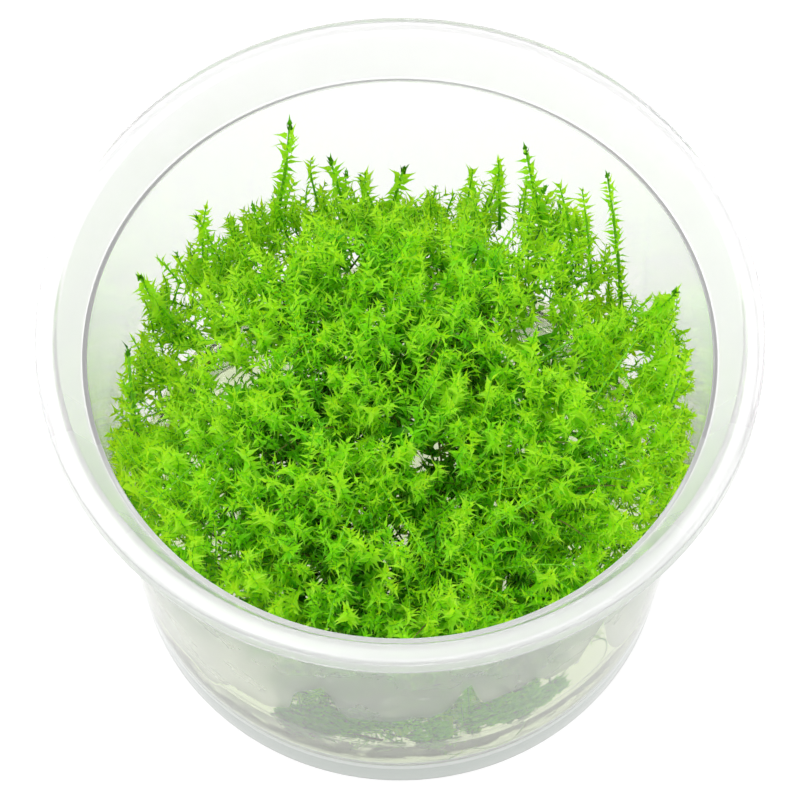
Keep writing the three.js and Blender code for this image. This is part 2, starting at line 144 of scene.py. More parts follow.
# Highest place on the far wall that the moss hides, as the camera sees it
SKYLINE = [
    (-20, 60.0), (-12, 60.0), (-5, 56.0), (0, 51.5), (4, 50.0), (7, 51.0), (11, 53.0), (14.5, 51.5), (18, 56.1),
    (22, 54.0), (25.5, 49.0), (29, 35.8), (32.5, 27.3), (35.5, 29.7), (39, 38.4), (41, 43.3), (45, 47.3),
    (48.5, 46.4), (52.5, 43.5), (56.5, 46.5), (60.5, 46.1), (64.5, 44.6), (68.5, 36.9), (72.5, 42.3), (76, 39.8),
    (80, 35.5), (84, 36.5), (88, 32.6), (92, 33.5), (96, 32.1), (100, 38.9), (104, 44.2), (108, 36.4),
    (111.5, 44.7), (115.5, 46.6), (119.5, 42.7), (123.5, 41.2), (127.5, 40.6), (131.5, 36.2), (135, 46.3),
    (139, 45.3), (143, 41.3), (147, 40.7), (151, 43.0), (154.5, 47.6), (158.5, 34.5), (162.5, 38.5), (166, 41.0),
    (170, 36.5), (173.5, 38.0), (177, 40.5), (180, 44.0), (184, 48.0), (190, 54.0), (205, 60.0),
]

# Height of the moss where it meets the wall, without the shoots that stand out of it
EDGE_TOP = [
    (0, 47), (12, 49), (20, 48), (28, 34), (32, 26), (36, 29), (44, 43), (56, 42), (68, 36), (80, 33), (96, 30),
    (106, 37), (120, 39), (132, 37), (140, 41), (152, 40), (160, 34), (172, 36), (180, 41), (190, 47),
    (205, 49), (225, 49), (270, 50), (315, 49), (345, 49),
]

CROWN_LEVEL = 49.2
OPEN_WELL = 0.55  # share of a well's depth that the leaves leave open

# Wells between the clumps, where light comes up through the moss, as in the solid: x, y, depth, half width
WELLS = [(-24, 4, 11, 5.0), (-35, -1, 9, 4.5), (-31, 17, 5, 4.0), (20, 13, 7, 4.5), (34, 6, 8, 4.0)]

# Hollows between the clumps, which the canopy dips into and where the moss is painted darker as painted shade: x, y,
# depth, half width
HOLLOWS = [
    (-8.6, 13.8, 3.0, 3.0), (6.1, 12.1, 3.5, 3.5), (-16.7, 3.6, 3.0, 2.5), (1.4, 1.4, 2.5, 2.5),
    (-13.7, -2.7, 3.0, 3.0), (-18.3, -10.1, 3.0, 3.0), (-22.3, -19.8, 3.5, 3.0), (-12.6, -18.3, 3.0, 2.5),
    (5.1, -12.1, 5.5, 3.5), (2.3, -16.3, 5.0, 3.0), (9.7, -17.3, 4.0, 3.0), (12.6, -11.1, 3.5, 4.0),
    (12.4, -23.5, 3.5, 2.5), (16.1, -28.5, 4.0, 4.5), (22.6, -23.5, 3.0, 3.0), (-6.0, -32.5, 4.0, 4.5),
]

# Places where light comes through the moss: column and row in the 800 pixel picture, and half width
LIGHT_GAPS = [
    (222, 372, 2.0), (243, 380, 1.7), (182, 299, 1.1), (268, 248, 0.8), (283, 258, 0.8), (290, 228, 0.8),
    (147, 410, 1.3), (115, 420, 0.9), (540, 320, 1.7), (517, 340, 1.4), (568, 345, 1.0), (634, 362, 1.4),
    (500, 225, 1.6), (515, 243, 1.4), (590, 262, 1.1), (598, 243, 1.0), (420, 465, 1.0), (430, 470, 0.8),
    (345, 215, 1.0), (205, 330, 1.0), (250, 300, 0.9), (625, 510, 0.9), (452, 210, 0.9), (310, 205, 1.0),
    (612, 396, 0.8), (549, 414, 0.9), (496, 217, 0.6), (533, 233, 0.7), (478, 396, 0.6), (517, 400, 0.8),
    (549, 293, 0.7), (694, 400, 0.7), (257, 344, 0.8), (260, 369, 0.8), (193, 362, 0.8), (405, 536, 0.8),
    (398, 582, 0.8), (278, 578, 0.9), (221, 564, 0.8), (526, 451, 0.9), (244, 596, 0.7), (556, 355, 0.6),
    (585, 300, 0.6), (172, 352, 0.7), (228, 318, 0.6), (652, 430, 0.7), (664, 470, 0.6), (130, 470, 0.8),
    (205, 648, 4.0), (222, 668, 4.6), (240, 686, 4.4), (254, 702, 3.4), (590, 658, 4.4), (572, 676, 3.6),
    (606, 638, 3.6), (230, 640, 2.6),
]


def wet_line(azimuth):
    ripple = 0.35 * np.sin(np.radians(azimuth) * 17.0) + 0.25 * np.sin(np.radians(azimuth) * 41.0 + 1.0)
    return round_the_cup(WET_LINE, azimuth) + ripple


def wander(x, y, wavelength, seed):
    """A smooth random field from -1 to 1 with bumps of about that size."""
    source = np.random.default_rng(seed)
    total = np.zeros(np.shape(x))
    for _ in range(6):
        turn, phase, stretch = source.uniform(0, 2 * np.pi), source.uniform(0, 2 * np.pi), source.uniform(0.75, 1.35)
        total = total + np.sin((x * np.cos(turn) + y * np.sin(turn)) * 2 * np.pi / (wavelength * stretch) + phase)
    return np.clip(total / 2.6, -1, 1)


def bed_height(x, y):
    return GEL_LEVEL + 0.8 * np.sin(x / 9 + 0.6) * np.cos(y / 10) + 0.5 * np.sin((x + y) / 8)


def dips(x, y, table):
    """Depth of the wells or hollows of a table at each point."""
    return sum(depth * np.exp(-((x - at_x) ** 2 + (y - at_y) ** 2) / half ** 2) for at_x, at_y, depth, half in table)


def canopy_height(x, y):
    """Height of the moss, without the shoots that stand out of it."""
    radius = np.hypot(x, y)
    edge = round_the_cup(EDGE_TOP, azimuth_of(x, y))
    middle = CROWN_LEVEL + 1.8 * wander(x, y, 15.0, 11) + 1.0 * wander(x, y, 7.5, 12)
    level = middle + (edge - middle) * smooth_step(24.0, 38.5, radius)
    return level - OPEN_WELL * dips(x, y, WELLS) - dips(x, y, HOLLOWS)


CAMERA_PLACE = np.array([LOOK_AT[0], LOOK_AT[1] - CAMERA_DISTANCE * math.cos(math.radians(CAMERA_ELEVATION)),
                         LOOK_AT[2] + CAMERA_DISTANCE * math.sin(math.radians(CAMERA_ELEVATION))]) / MM
FORWARD = unit(np.array(LOOK_AT) / MM - CAMERA_PLACE)
UPWARD = unit(np.array([0.0, 0.0, 1.0]) - FORWARD * FORWARD[2])
PICTURE = 800
REFRACTED_DROP = 0.67  # how far a line of sight comes down inside the wall


def sight(column, row):
    """Direction of the view through a point of the picture."""
    per_pixel = SENSOR_MM / LENS_MM / PICTURE
    across = (column - PICTURE / 2) * per_pixel
    down = (row - PICTURE / 2) * per_pixel
    return unit(FORWARD + np.array([across, 0.0, 0.0]) - UPWARD * down)


def near_wall(column, row):
    """Azimuth and height on the inside of the near wall that the picture shows at a place."""
    way = sight(column, row)
    widen = (SHOULDER_R - FOOT_R) / SHOULDER_Z
    start = FOOT_R + widen * CAMERA_PLACE[2]
    a = way[0] ** 2 + way[1] ** 2 - (widen * way[2]) ** 2
    b = CAMERA_PLACE[0] * way[0] + CAMERA_PLACE[1] * way[1] - widen * way[2] * start
    c = CAMERA_PLACE[0] ** 2 + CAMERA_PLACE[1] ** 2 - start ** 2
    hit = CAMERA_PLACE + way * (-b - math.sqrt(b * b - a * c)) / a
    return math.degrees(math.atan2(hit[1], hit[0])) % 360.0, hit[2] - REFRACTED_DROP


def far_wall(points):
    """Azimuth and height of the far wall's point that the camera sees each point against."""
    way = unit(points - CAMERA_PLACE)
    reach = np.zeros(len(points))
    for _ in range(6):
        z = points[:, 2] + reach * way[:, 2]
        radius = inner_radius(z)
        flat = way[:, :2]
        a = np.sum(flat ** 2, axis=1)
        b = np.sum(points[:, :2] * flat, axis=1)
        c = np.sum(points[:, :2] ** 2, axis=1) - radius ** 2
        reach = (-b + np.sqrt(np.maximum(b * b - a * c, 0.0))) / a
    end = points + reach[:, None] * way
    return np.mod(azimuth_of(end[:, 0], end[:, 1]), 360.0), end[:, 2]


def over_skyline(points):
    azimuth, z = far_wall(points)
    behind = (azimuth < 200) | (azimuth > 335)
    return behind & (z > round_the_cup([(a % 360, v) for a, v in SKYLINE], azimuth))


# Meshes

def linked(name, data):
    obj = bpy.data.objects.new(name, data)
    bpy.context.scene.collection.objects.link(obj)
    return obj


def make_mesh(name, vertices, face_sets, materials, face_materials=None, leaf_data=None, smooth=True):
    """A mesh object from millimetre vertices and arrays of triangles or quads, all with the same use of materials."""
    mesh = bpy.data.meshes.new(name)
    vertices = np.asarray(vertices, dtype=np.float64) * MM
    loops = np.concatenate([np.asarray(faces).ravel() for faces in face_sets])
    sizes = np.concatenate([np.full(len(faces), np.shape(faces)[1]) for faces in face_sets])
    starts = np.concatenate([[0], np.cumsum(sizes)[:-1]])
    mesh.vertices.add(len(vertices))
    mesh.vertices.foreach_set("co", vertices.ravel().astype(np.float32))
    mesh.loops.add(len(loops))
    mesh.loops.foreach_set("vertex_index", loops.astype(np.int32))
    mesh.polygons.add(len(sizes))
    mesh.polygons.foreach_set("loop_start", starts.astype(np.int32))
    mesh.polygons.foreach_set("use_smooth", np.full(len(sizes), smooth))
    if face_materials is not None:
        mesh.polygons.foreach_set("material_index", np.concatenate(face_materials).astype(np.int32))
    mesh.update(calc_edges=True)
    if leaf_data is not None:
        attribute = mesh.color_attributes.new("growth_and_painted_light", "FLOAT_COLOR", "POINT")
        attribute.data.foreach_set("color", np.asarray(leaf_data, dtype=np.float32).ravel())
    for material in materials:
        mesh.materials.append(material)
    return linked(name, mesh)


def place(obj, slot, *nodes):
    """Dresses the solids with a mesh."""
    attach(obj, "root")
    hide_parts(*nodes)


# Materials

class Material:
    """A node material with a few helpers, so that each one below reads as a list."""

    def __init__(self, name):
        self.material = bpy.data.materials.new(name)
        self.material.use_nodes = True
        self.tree = self.material.node_tree
        self.shader = self.tree.nodes["Principled BSDF"]
        self.place = self.add("ShaderNodeTexCoord", {}).outputs["Object"]

    def fill(self, node, inputs):
        """Links the inputs whose values are outputs of other nodes, and sets the others."""
        for key, value in inputs.items():
            if isinstance(value, bpy.types.NodeSocket):
                self.tree.links.new(value, node.inputs[key])
            else:
                node.inputs[key].default_value = value

    def add(self, kind, inputs, **values):
        node = self.tree.nodes.new(kind)
        for key, value in values.items():
            setattr(node, key, value)
        self.fill(node, inputs)
        return node

    def set(self, **inputs):
        self.fill(self.shader, {key.replace("_", " "): value for key, value in inputs.items()})

    def noise(self, scale, detail=3.0):
        inputs = {"Scale": scale, "Detail": detail, "Roughness": 0.55, "Vector": self.place}
        return self.add("ShaderNodeTexNoise", inputs).outputs["Fac"]

    def ramp(self, factor, stops):
        node = self.add("ShaderNodeValToRGB", {"Fac": factor})
        elements = node.color_ramp.elements
        while len(elements) < len(stops):
            elements.new(0.5)
        for element, (position, color) in zip(elements, stops):
            element.position = position
            element.color = (*color, 1.0)
        return node.outputs["Color"]

    def blend(self, factor, color, other):
        return self.add("ShaderNodeMix", {0: factor, 6: color, 7: (*other, 1.0)}, data_type="RGBA").outputs[2]

    def span(self, factor, low, high):
        return self.add("ShaderNodeMapRange", {"Value": factor, "To Min": low, "To Max": high}).outputs["Result"]

    def math(self, operation, first, second):
        return self.add("ShaderNodeMath", {0: first, 1: second}, operation=operation).outputs[0]

    def bump(self, height, strength, distance):
        inputs = {"Height": height, "Strength": strength, "Distance": distance}
        return self.add("ShaderNodeBump", inputs).outputs["Normal"]

    def growth_and_painted_light(self):
        """A leaf's or stem's age, place along it, and chance. The age carries painted light too: paler where light
        comes through the moss and beside light gaps, darker in the hollows as painted shade.
        """
        color = self.add("ShaderNodeVertexColor", {}, layer_name="growth_and_painted_light").outputs["Color"]
        return self.add("ShaderNodeSeparateColor", {"Color": color}).outputs


PLASTIC_IOR = 1.49
PLASTIC_IOR_ON_WATER = 1.45


def cup_material(name, color, roughness, clear, ior):
    """Plastic that lets the given share of light straight through, and is milky for the rest."""
    m = Material(name)
    m.set(Base_Color=(*color, 1.0), IOR=ior, Transmission_Weight=clear,
          Roughness=m.span(m.noise(90.0, 4.0), *roughness), Normal=m.bump(m.noise(45.0, 2.0), 0.12, 0.0004))
    return m.material


def gel_material():
    m = Material("gel_clear")
    m.set(Base_Color=(0.92, 0.98, 0.72, 1.0), IOR=1.34, Transmission_Weight=0.92,
          Roughness=m.span(m.noise(160.0), 0.02, 0.10), Normal=m.bump(m.noise(120.0, 2.0), 0.08, 0.0005))
    return m.material


def water_material():
    m = Material("water_clear")
    m.set(Base_Color=(1.0, 1.0, 1.0, 1.0), IOR=1.333, Transmission_Weight=1.0,
          Roughness=m.span(m.noise(400.0), 0.0, 0.04))
    return m.material


# Pale green mixed into the outer end of each leaf: partly the leaves' own paler tips, partly a painted highlight
# standing in for glints on the tips.
PALE_TIP_AND_PAINTED_HIGHLIGHT = (0.66, 0.95, 0.20)
LEAF_AGES = [
    (0.0, (0.47, 0.93, 0.020)),
    (0.25, (0.32, 0.86, 0.008)),
    (0.5, (0.19, 0.70, 0.004)),
    (0.75, (0.080, 0.43, 0.002)),
    (1.0, (0.024, 0.16, 0.001)),
]
GLOW_AGES = [
    (0.0, (0.74, 0.99, 0.012)),
    (0.4, (0.47, 0.96, 0.006)),
    (0.8, (0.18, 0.64, 0.003)),
    (1.0, (0.06, 0.24, 0.002)),
]


def leaf_material(name, shine):
    """Thin damp leaves that light comes through."""
    m = Material(name)
    age, along, chance = m.growth_and_painted_light()
    mottled = m.math("ADD", age, m.span(m.noise(900.0), -0.10, 0.10))
    varied = m.math("ADD", mottled, m.span(chance, -0.10, 0.10))
    lit_tip = m.math("SUBTRACT", varied, m.span(along, 0.0, 0.12))
    # Paler toward the tip: partly the leaf's own colour, partly painted highlight.
    pale = m.ramp(along, [(0.45, (0.0, 0.0, 0.0)), (1.0, (0.45, 0.45, 0.45))])
    m.set(Base_Color=m.blend(pale, m.ramp(lit_tip, LEAF_AGES), PALE_TIP_AND_PAINTED_HIGHLIGHT), Specular_IOR_Level=shine,
          Roughness=m.span(m.noise(1500.0, 2.0), 0.30, 0.5), Normal=m.bump(m.noise(5200.0, 2.0), 0.35, 0.00008))
    glow = m.add("ShaderNodeBsdfTranslucent", {"Color": m.ramp(lit_tip, GLOW_AGES)})
    mix = m.add("ShaderNodeMixShader", {"Fac": 0.54, 1: m.shader.outputs[0], 2: glow.outputs[0]})
    m.fill(m.tree.nodes["Material Output"], {"Surface": mix.outputs[0]})
    return m.material


STEM_AGES = [
    (0.0, (0.26, 0.70, 0.010)),
    (0.4, (0.15, 0.50, 0.006)),
    (0.75, (0.08, 0.24, 0.005)),
    (1.0, (0.12, 0.13, 0.014)),
]


def stem_material():
    m = Material("moss_stem")
    mottled = m.math("ADD", m.growth_and_painted_light()[0], m.span(m.noise(700.0), -0.15, 0.15))
    m.set(Base_Color=m.ramp(mottled, STEM_AGES), Roughness=m.span(m.noise(1200.0), 0.35, 0.6),
          Normal=m.bump(m.noise(2500.0), 0.4, 0.0001))
    return m.material


def floor_material():
    """A luminous floor with a darker base, so that it stays white also in the shade of the cup."""
    m = Material("floor_white")
    m.set(Base_Color=m.ramp(m.noise(3.0), [(0.3, (0.24, 0.24, 0.24)), (0.7, (0.26, 0.26, 0.26))]), Roughness=0.9,
          Specular_IOR_Level=0.1, Emission_Color=(1.0, 1.0, 1.0, 1.0), Emission_Strength=0.83)
    return m.material


# The cup's plastic, by part and by side: colour, range of roughness, share of light let straight through, IOR
# The near, side and far copies are one plastic with painted light: the near rim is painted darker as painted shade,
# the near dry wall is painted yellow-green as painted light from the moss, and the far wall whiter. The skirt is
# painted grey, and the foot dark grey as painted shade under the cup.
CUP_LOOKS = {
    "outside": ((0.99, 0.995, 0.985), (0.02, 0.06), 1.0, PLASTIC_IOR),
    "inside_near": ((0.95, 0.985, 0.88), (0.22, 0.34), 0.78, PLASTIC_IOR),
    "inside_side": ((0.99, 0.985, 0.98), (0.16, 0.24), 0.90, PLASTIC_IOR),
    "inside_far": ((1.0, 0.985, 0.995), (0.12, 0.18), 0.975, PLASTIC_IOR),
    "inside_wet": ((0.95, 0.99, 0.86), (0.02, 0.06), 1.0, PLASTIC_IOR_ON_WATER),
    "rim_near": ((0.88, 0.89, 0.88), (0.10, 0.18), 0.60, PLASTIC_IOR),
    "rim_side": ((0.94, 0.945, 0.94), (0.10, 0.18), 0.65, PLASTIC_IOR),
    "rim_far": ((0.985, 0.98, 0.985), (0.08, 0.16), 0.71, PLASTIC_IOR),
    "skirt": ((0.86, 0.88, 0.86), (0.06, 0.14), 0.72, PLASTIC_IOR),
    "foot": ((0.50, 0.55, 0.51), (0.05, 0.12), 0.86, PLASTIC_IOR),
}
CUP_MATERIALS = [cup_material("cup_" + part, *looks) for part, looks in CUP_LOOKS.items()]
GEL = gel_material()
WATER = water_material()
LEAF = leaf_material("moss_leaf", 0.3)
LEAF_ON_WALL = leaf_material("moss_leaf_on_wall", 0.0)
STEM = stem_material()


# Cup, gel and drops

def rounded(corners, steps=4):
    """A polyline of (r, z, fillet radius) corners with each corner turned into an arc."""
    points = []
    for i, (r, z, fillet) in enumerate(corners):
        here = np.array([r, z])
        if fillet <= 0 or i in (0, len(corners) - 1):
            points.append(here)
            continue
        back = np.array(corners[i - 1][:2]) - here
        ahead = np.array(corners[i + 1][:2]) - here
        reach = min(fillet, 0.45 * np.linalg.norm(back), 0.45 * np.linalg.norm(ahead))
        start = here + unit(back) * reach
        end = here + unit(ahead) * reach
        points += list(curve_at((start, here, end), np.linspace(0, 1, steps + 1)))
    return points


def revolve(name, rings, band_materials, materials, segments):
    """A closed body of turned rings. A ring is (radius, height), and each may vary round the circle."""
    azimuth = np.arange(segments) * 360.0 / segments
    vertices = np.concatenate([polar(np.broadcast_to(r, segments), azimuth, np.broadcast_to(z, segments))
                               for r, z in rings])
    first, last = len(vertices), len(vertices) + 1
    ends = [[0, 0, np.mean(rings[0][1])], [0, 0, np.mean(rings[-1][1])]]
    vertices = np.concatenate([vertices, ends])
    j = np.arange(segments)
    after = (j + 1) % segments
    bands = [np.stack([low + j, low + after, low + segments + after, low + segments + j], axis=1)
             for low in range(0, (len(rings) - 1) * segments, segments)]
    base = (len(rings) - 1) * segments
    fans = [np.stack([np.full(segments, first), after, j], axis=1),
            np.stack([base + j, base + after, np.full(segments, last)], axis=1)]
    uses = [np.broadcast_to(m, segments) for m in [band_materials[0], band_materials[-1], *band_materials]]
    return make_mesh(name, vertices, [*fans, *bands], materials, uses)


def cup_outline():
    """The cup's section from under the middle of its floor, round the foot and rim, to the wall under the seat."""
    under = FLOOR_TOP - FLOOR_THICKNESS
    run, rise = MOUTH_R - SEAT_R, SEAT_DEPTH
    slope = run / rise
    skin = WALL * math.hypot(run, rise) / rise
    plate = CUP_HEIGHT - WALL
    return rounded([
        (1.0, under, 0),
        (inner_radius(under) - 0.2, under, 0.9),
        (FOOT_R - FOOT_WIDTH, 0.0, 0.35),
        (FOOT_R, 0.0, 0.5),
        (outer_radius(under - 0.4), under - 0.4, 0),
        (outer_radius(under + 0.4), under + 0.4, 0),
        (outer_radius(20.0), 20.0, 0),
        (outer_radius(40.0), 40.0, 0),
        (SHOULDER_R, SHOULDER_Z, 0.15),
        (SEAT_R + skin + (SHOULDER_Z - SEAT_Z) * slope, SHOULDER_Z, 0.2),
        (SEAT_R + skin + (plate - SEAT_Z) * slope, plate, 0.5),
        (RIM_R - WALL, plate, 0.5),
        (RIM_R - WALL, CUP_HEIGHT - SKIRT_DEPTH, 0.3),
        (RIM_R, CUP_HEIGHT - SKIRT_DEPTH, 0.3),
        (RIM_R, CUP_HEIGHT, 0.7),
        (MOUTH_R, CUP_HEIGHT, 0.5),
        (SEAT_R, SEAT_Z, 0.2),
        (inner_radius(SEAT_Z), SEAT_Z, 0.2),
        (inner_radius(SEAT_Z - LIP), SEAT_Z - LIP, 0),
    ])


def by_side(azimuth, near_to, side_to, part):
    """Number of the part's near, side or far copy of one plastic round the cup, which differ by painted light."""
    from_front = np.abs(azimuth - 270.0)
    from_front = np.minimum(from_front, 360.0 - from_front)
    near, side, far = (list(CUP_LOOKS).index(part + end) for end in ("_near", "_side", "_far"))
    return np.where(from_front < near_to, near, np.where(from_front < side_to, side, far))


def cup():
    azimuth = np.arange(CUP_SEGMENTS) * 360.0 / CUP_SEGMENTS
    # The rim and the dry wall take the copy of their side, painted darker or greener near the camera and whiter away
    # from it.
    rim = by_side(azimuth, RIM_NEAR_TO, RIM_SIDE_TO, "rim")
    dry = by_side(azimuth, WALL_NEAR_TO, WALL_SIDE_TO, "inside")
    outside, wet, skirt, foot = (list(CUP_LOOKS).index(part) for part in ("outside", "inside_wet", "skirt", "foot"))
    rings = cup_outline()
    kinds = []
    for (low_r, low_z), (high_r, high_z) in zip(rings, rings[1:]):
        middle = (low_z + high_z) / 2
        if min(low_r, high_r) > RIM_R - 0.1:
            kinds.append(skirt)
        elif middle > SHOULDER_Z - 0.1:
            kinds.append(rim)
        else:
            # The foot band takes the dark grey copy: painted shade under the cup.
            kinds.append(foot if middle < FLOOR_TOP - FLOOR_THICKNESS else outside)
    kinds[-1] = dry
    line = wet_line(azimuth)
    top = SEAT_Z - LIP
    bottom = FLOOR_TOP + FLOOR_FILLET
    dry_end, wet_start = line + WET_EDGE, line - WET_EDGE
    for z, kind in (*((top + (dry_end - top) * share, dry) for share in (0.25, 0.5, 0.75, 0.95)),
                    (dry_end, dry), (wet_start, wet),
                    *((wet_start + (bottom - wet_start) * share, wet) for share in (0.3, 0.6))):
        rings.append((inner_radius(z), z))
        kinds.append(kind)
    for r, z in rounded([(inner_radius(bottom), bottom, 0), (inner_radius(FLOOR_TOP), FLOOR_TOP, FLOOR_FILLET),
                         (20.0, FLOOR_TOP, 0), (1.0, FLOOR_TOP, 0)]):
        rings.append((r, z))
        kinds.append(wet)
    place(revolve("cup_shell", rings, kinds, CUP_MATERIALS, CUP_SEGMENTS), "clear_cup", "cup")


def gel():
    """The gel: flat below, drawn up the wall by a meniscus, and rippled on top."""
    azimuth = np.arange(GEL_SEGMENTS) * 360.0 / GEL_SEGMENTS
    bottom = FLOOR_TOP + GEL_GAP
    side = bottom + FLOOR_FILLET
    rings = [(1.0, bottom), (30.0, bottom), (inner_radius(bottom) - 0.95, bottom),
             (inner_radius(bottom) - 0.4, bottom + 0.25), (inner_radius(side) - GEL_GAP, side)]
    wall_top = np.minimum(wet_line(azimuth) - 0.3, MENISCUS_TOP)
    for share in (0.5, 0.9, 1.0):
        z = side + (wall_top - side) * share
        rings.append((inner_radius(z) - GEL_GAP, z))
    for inset, keep in ((0.25, 0.72), (0.6, 0.42), (1.1, 0.2), (2.0, 0.05)):
        r = inner_radius(wall_top) - GEL_GAP - inset
        x, y, _ = polar(r, azimuth, 0.0).T
        rings.append((r, bed_height(x, y) + (wall_top - bed_height(x, y)) * keep))
    for r in np.linspace(34.5, 1.0, 24):
        x, y, _ = polar(r, azimuth, 0.0).T
        rings.append((r, bed_height(x, y) + 0.25 * np.sin(x * 1.3 + np.sin(y) * 1.2) * np.cos(y * 1.1)))
    place(revolve("gel_layer", rings, [0] * (len(rings) - 1), [GEL], GEL_SEGMENTS), "clear_gel", "gel")


# Moss

# Leaf outlines: rows of (place along the leaf, half width), from the clasping base to the tip
FINE_LEAF = [(0.0, 0.6), (0.20, 1.0), (0.52, 0.36)]
PLAIN_LEAF = [(0.0, 0.6), (0.24, 1.0)]
LEAF_PITCH = 0.45  # length of stem for each leaf
LEAF_TURN = 125.0  # degrees round the stem from one leaf to the next
LEAF_GAP = 0.06  # between the leaves and the wall
OPENING = 2.4  # length at the tip of a shoot over which its leaves open out
BUD_LENGTH = 1.7  # length at the tip over which they close to a bud, where there is one
STEM_STEP = 1.3  # length of the straight pieces of a stem
USUAL_HEAD = (30.0, 0.72)  # angle and relative size of the leaves at the tip
STAR_HEAD = (44.0, 1.05)
CROWN_R = 40.6  # radius over which the crown's shoots are spread
CROWN_LIMIT = 40.8  # and beyond which none of them starts
PAINTED_BACKLIGHT_CROWN = 0.24  # how much paler the moss is painted where light comes through it: painted backlight
PAINTED_BACKLIGHT_FLANK = 0.34
# Shoots beside a light gap are painted paler, as painted light glowing round the gap: by this much, and this far out.
PAINTED_GLOW_BESIDE_GAPS = 0.32
PAINTED_GLOW_REACH = 1.6  # how far that goes beside a gap
TWIG_ROWS = 600  # gaps in the top are above this row of the picture, and those in the front under it
FROND_SCALE = 1.25  # of the leaves on the wall, against their lengths in the table
SECTORS = ("right_back", "left_back", "left_front", "right_front")


def leaf_template(rows):
    """Vertices (across, along) and triangles of one leaf. All rows but the first have a midrib point."""
    points, triangles = [(-rows[0][1], 0.0), (rows[0][1], 0.0)], []
    for v, half in rows[1:]:
        points += [(-half, v), (0.0, v), (half, v)]
    tip = len(points)
    points.append((0.0, 1.0))
    triangles += [(0, 3, 2), (0, 1, 3), (1, 4, 3)]
    for i in range(len(rows) - 2):
        a = 2 + 3 * i
        triangles += [(a, a + 1, a + 4), (a, a + 4, a + 3), (a + 1, a + 2, a + 5), (a + 1, a + 5, a + 4)]
    a = 2 + 3 * (len(rows) - 2)
    triangles += [(a, a + 1, tip), (a + 1, a + 2, tip)]
    return np.array(points), np.array(triangles)


def curve_frame(path, t):
    """Directions along, and twice across, a flat curved stem."""
    a, b, c = path
    t = t[..., None]
    along = unit(2 * (1 - t) * (b - a) + 2 * t * (c - b))
    flat = np.cross(b - a, c - a)
    weak = np.linalg.norm(flat, axis=-1, keepdims=True) < 1e-3
    spare = np.cross(c - a, np.array([0.31, 0.87, 0.12]))
    third = unit(np.where(weak, spare, flat))
    across = unit(np.cross(third, along))
    third = np.cross(along, across)
    return along, across, third


def spread_out(counts):
    """For counts [2, 3]: owner [0, 0, 1, 1, 1] and place in the owner [0, 1, 0, 1, 2]."""
    owner = np.repeat(np.arange(len(counts)), counts)
    starts = np.cumsum(counts) - counts
    return owner, np.arange(counts.sum()) - starts[owner]


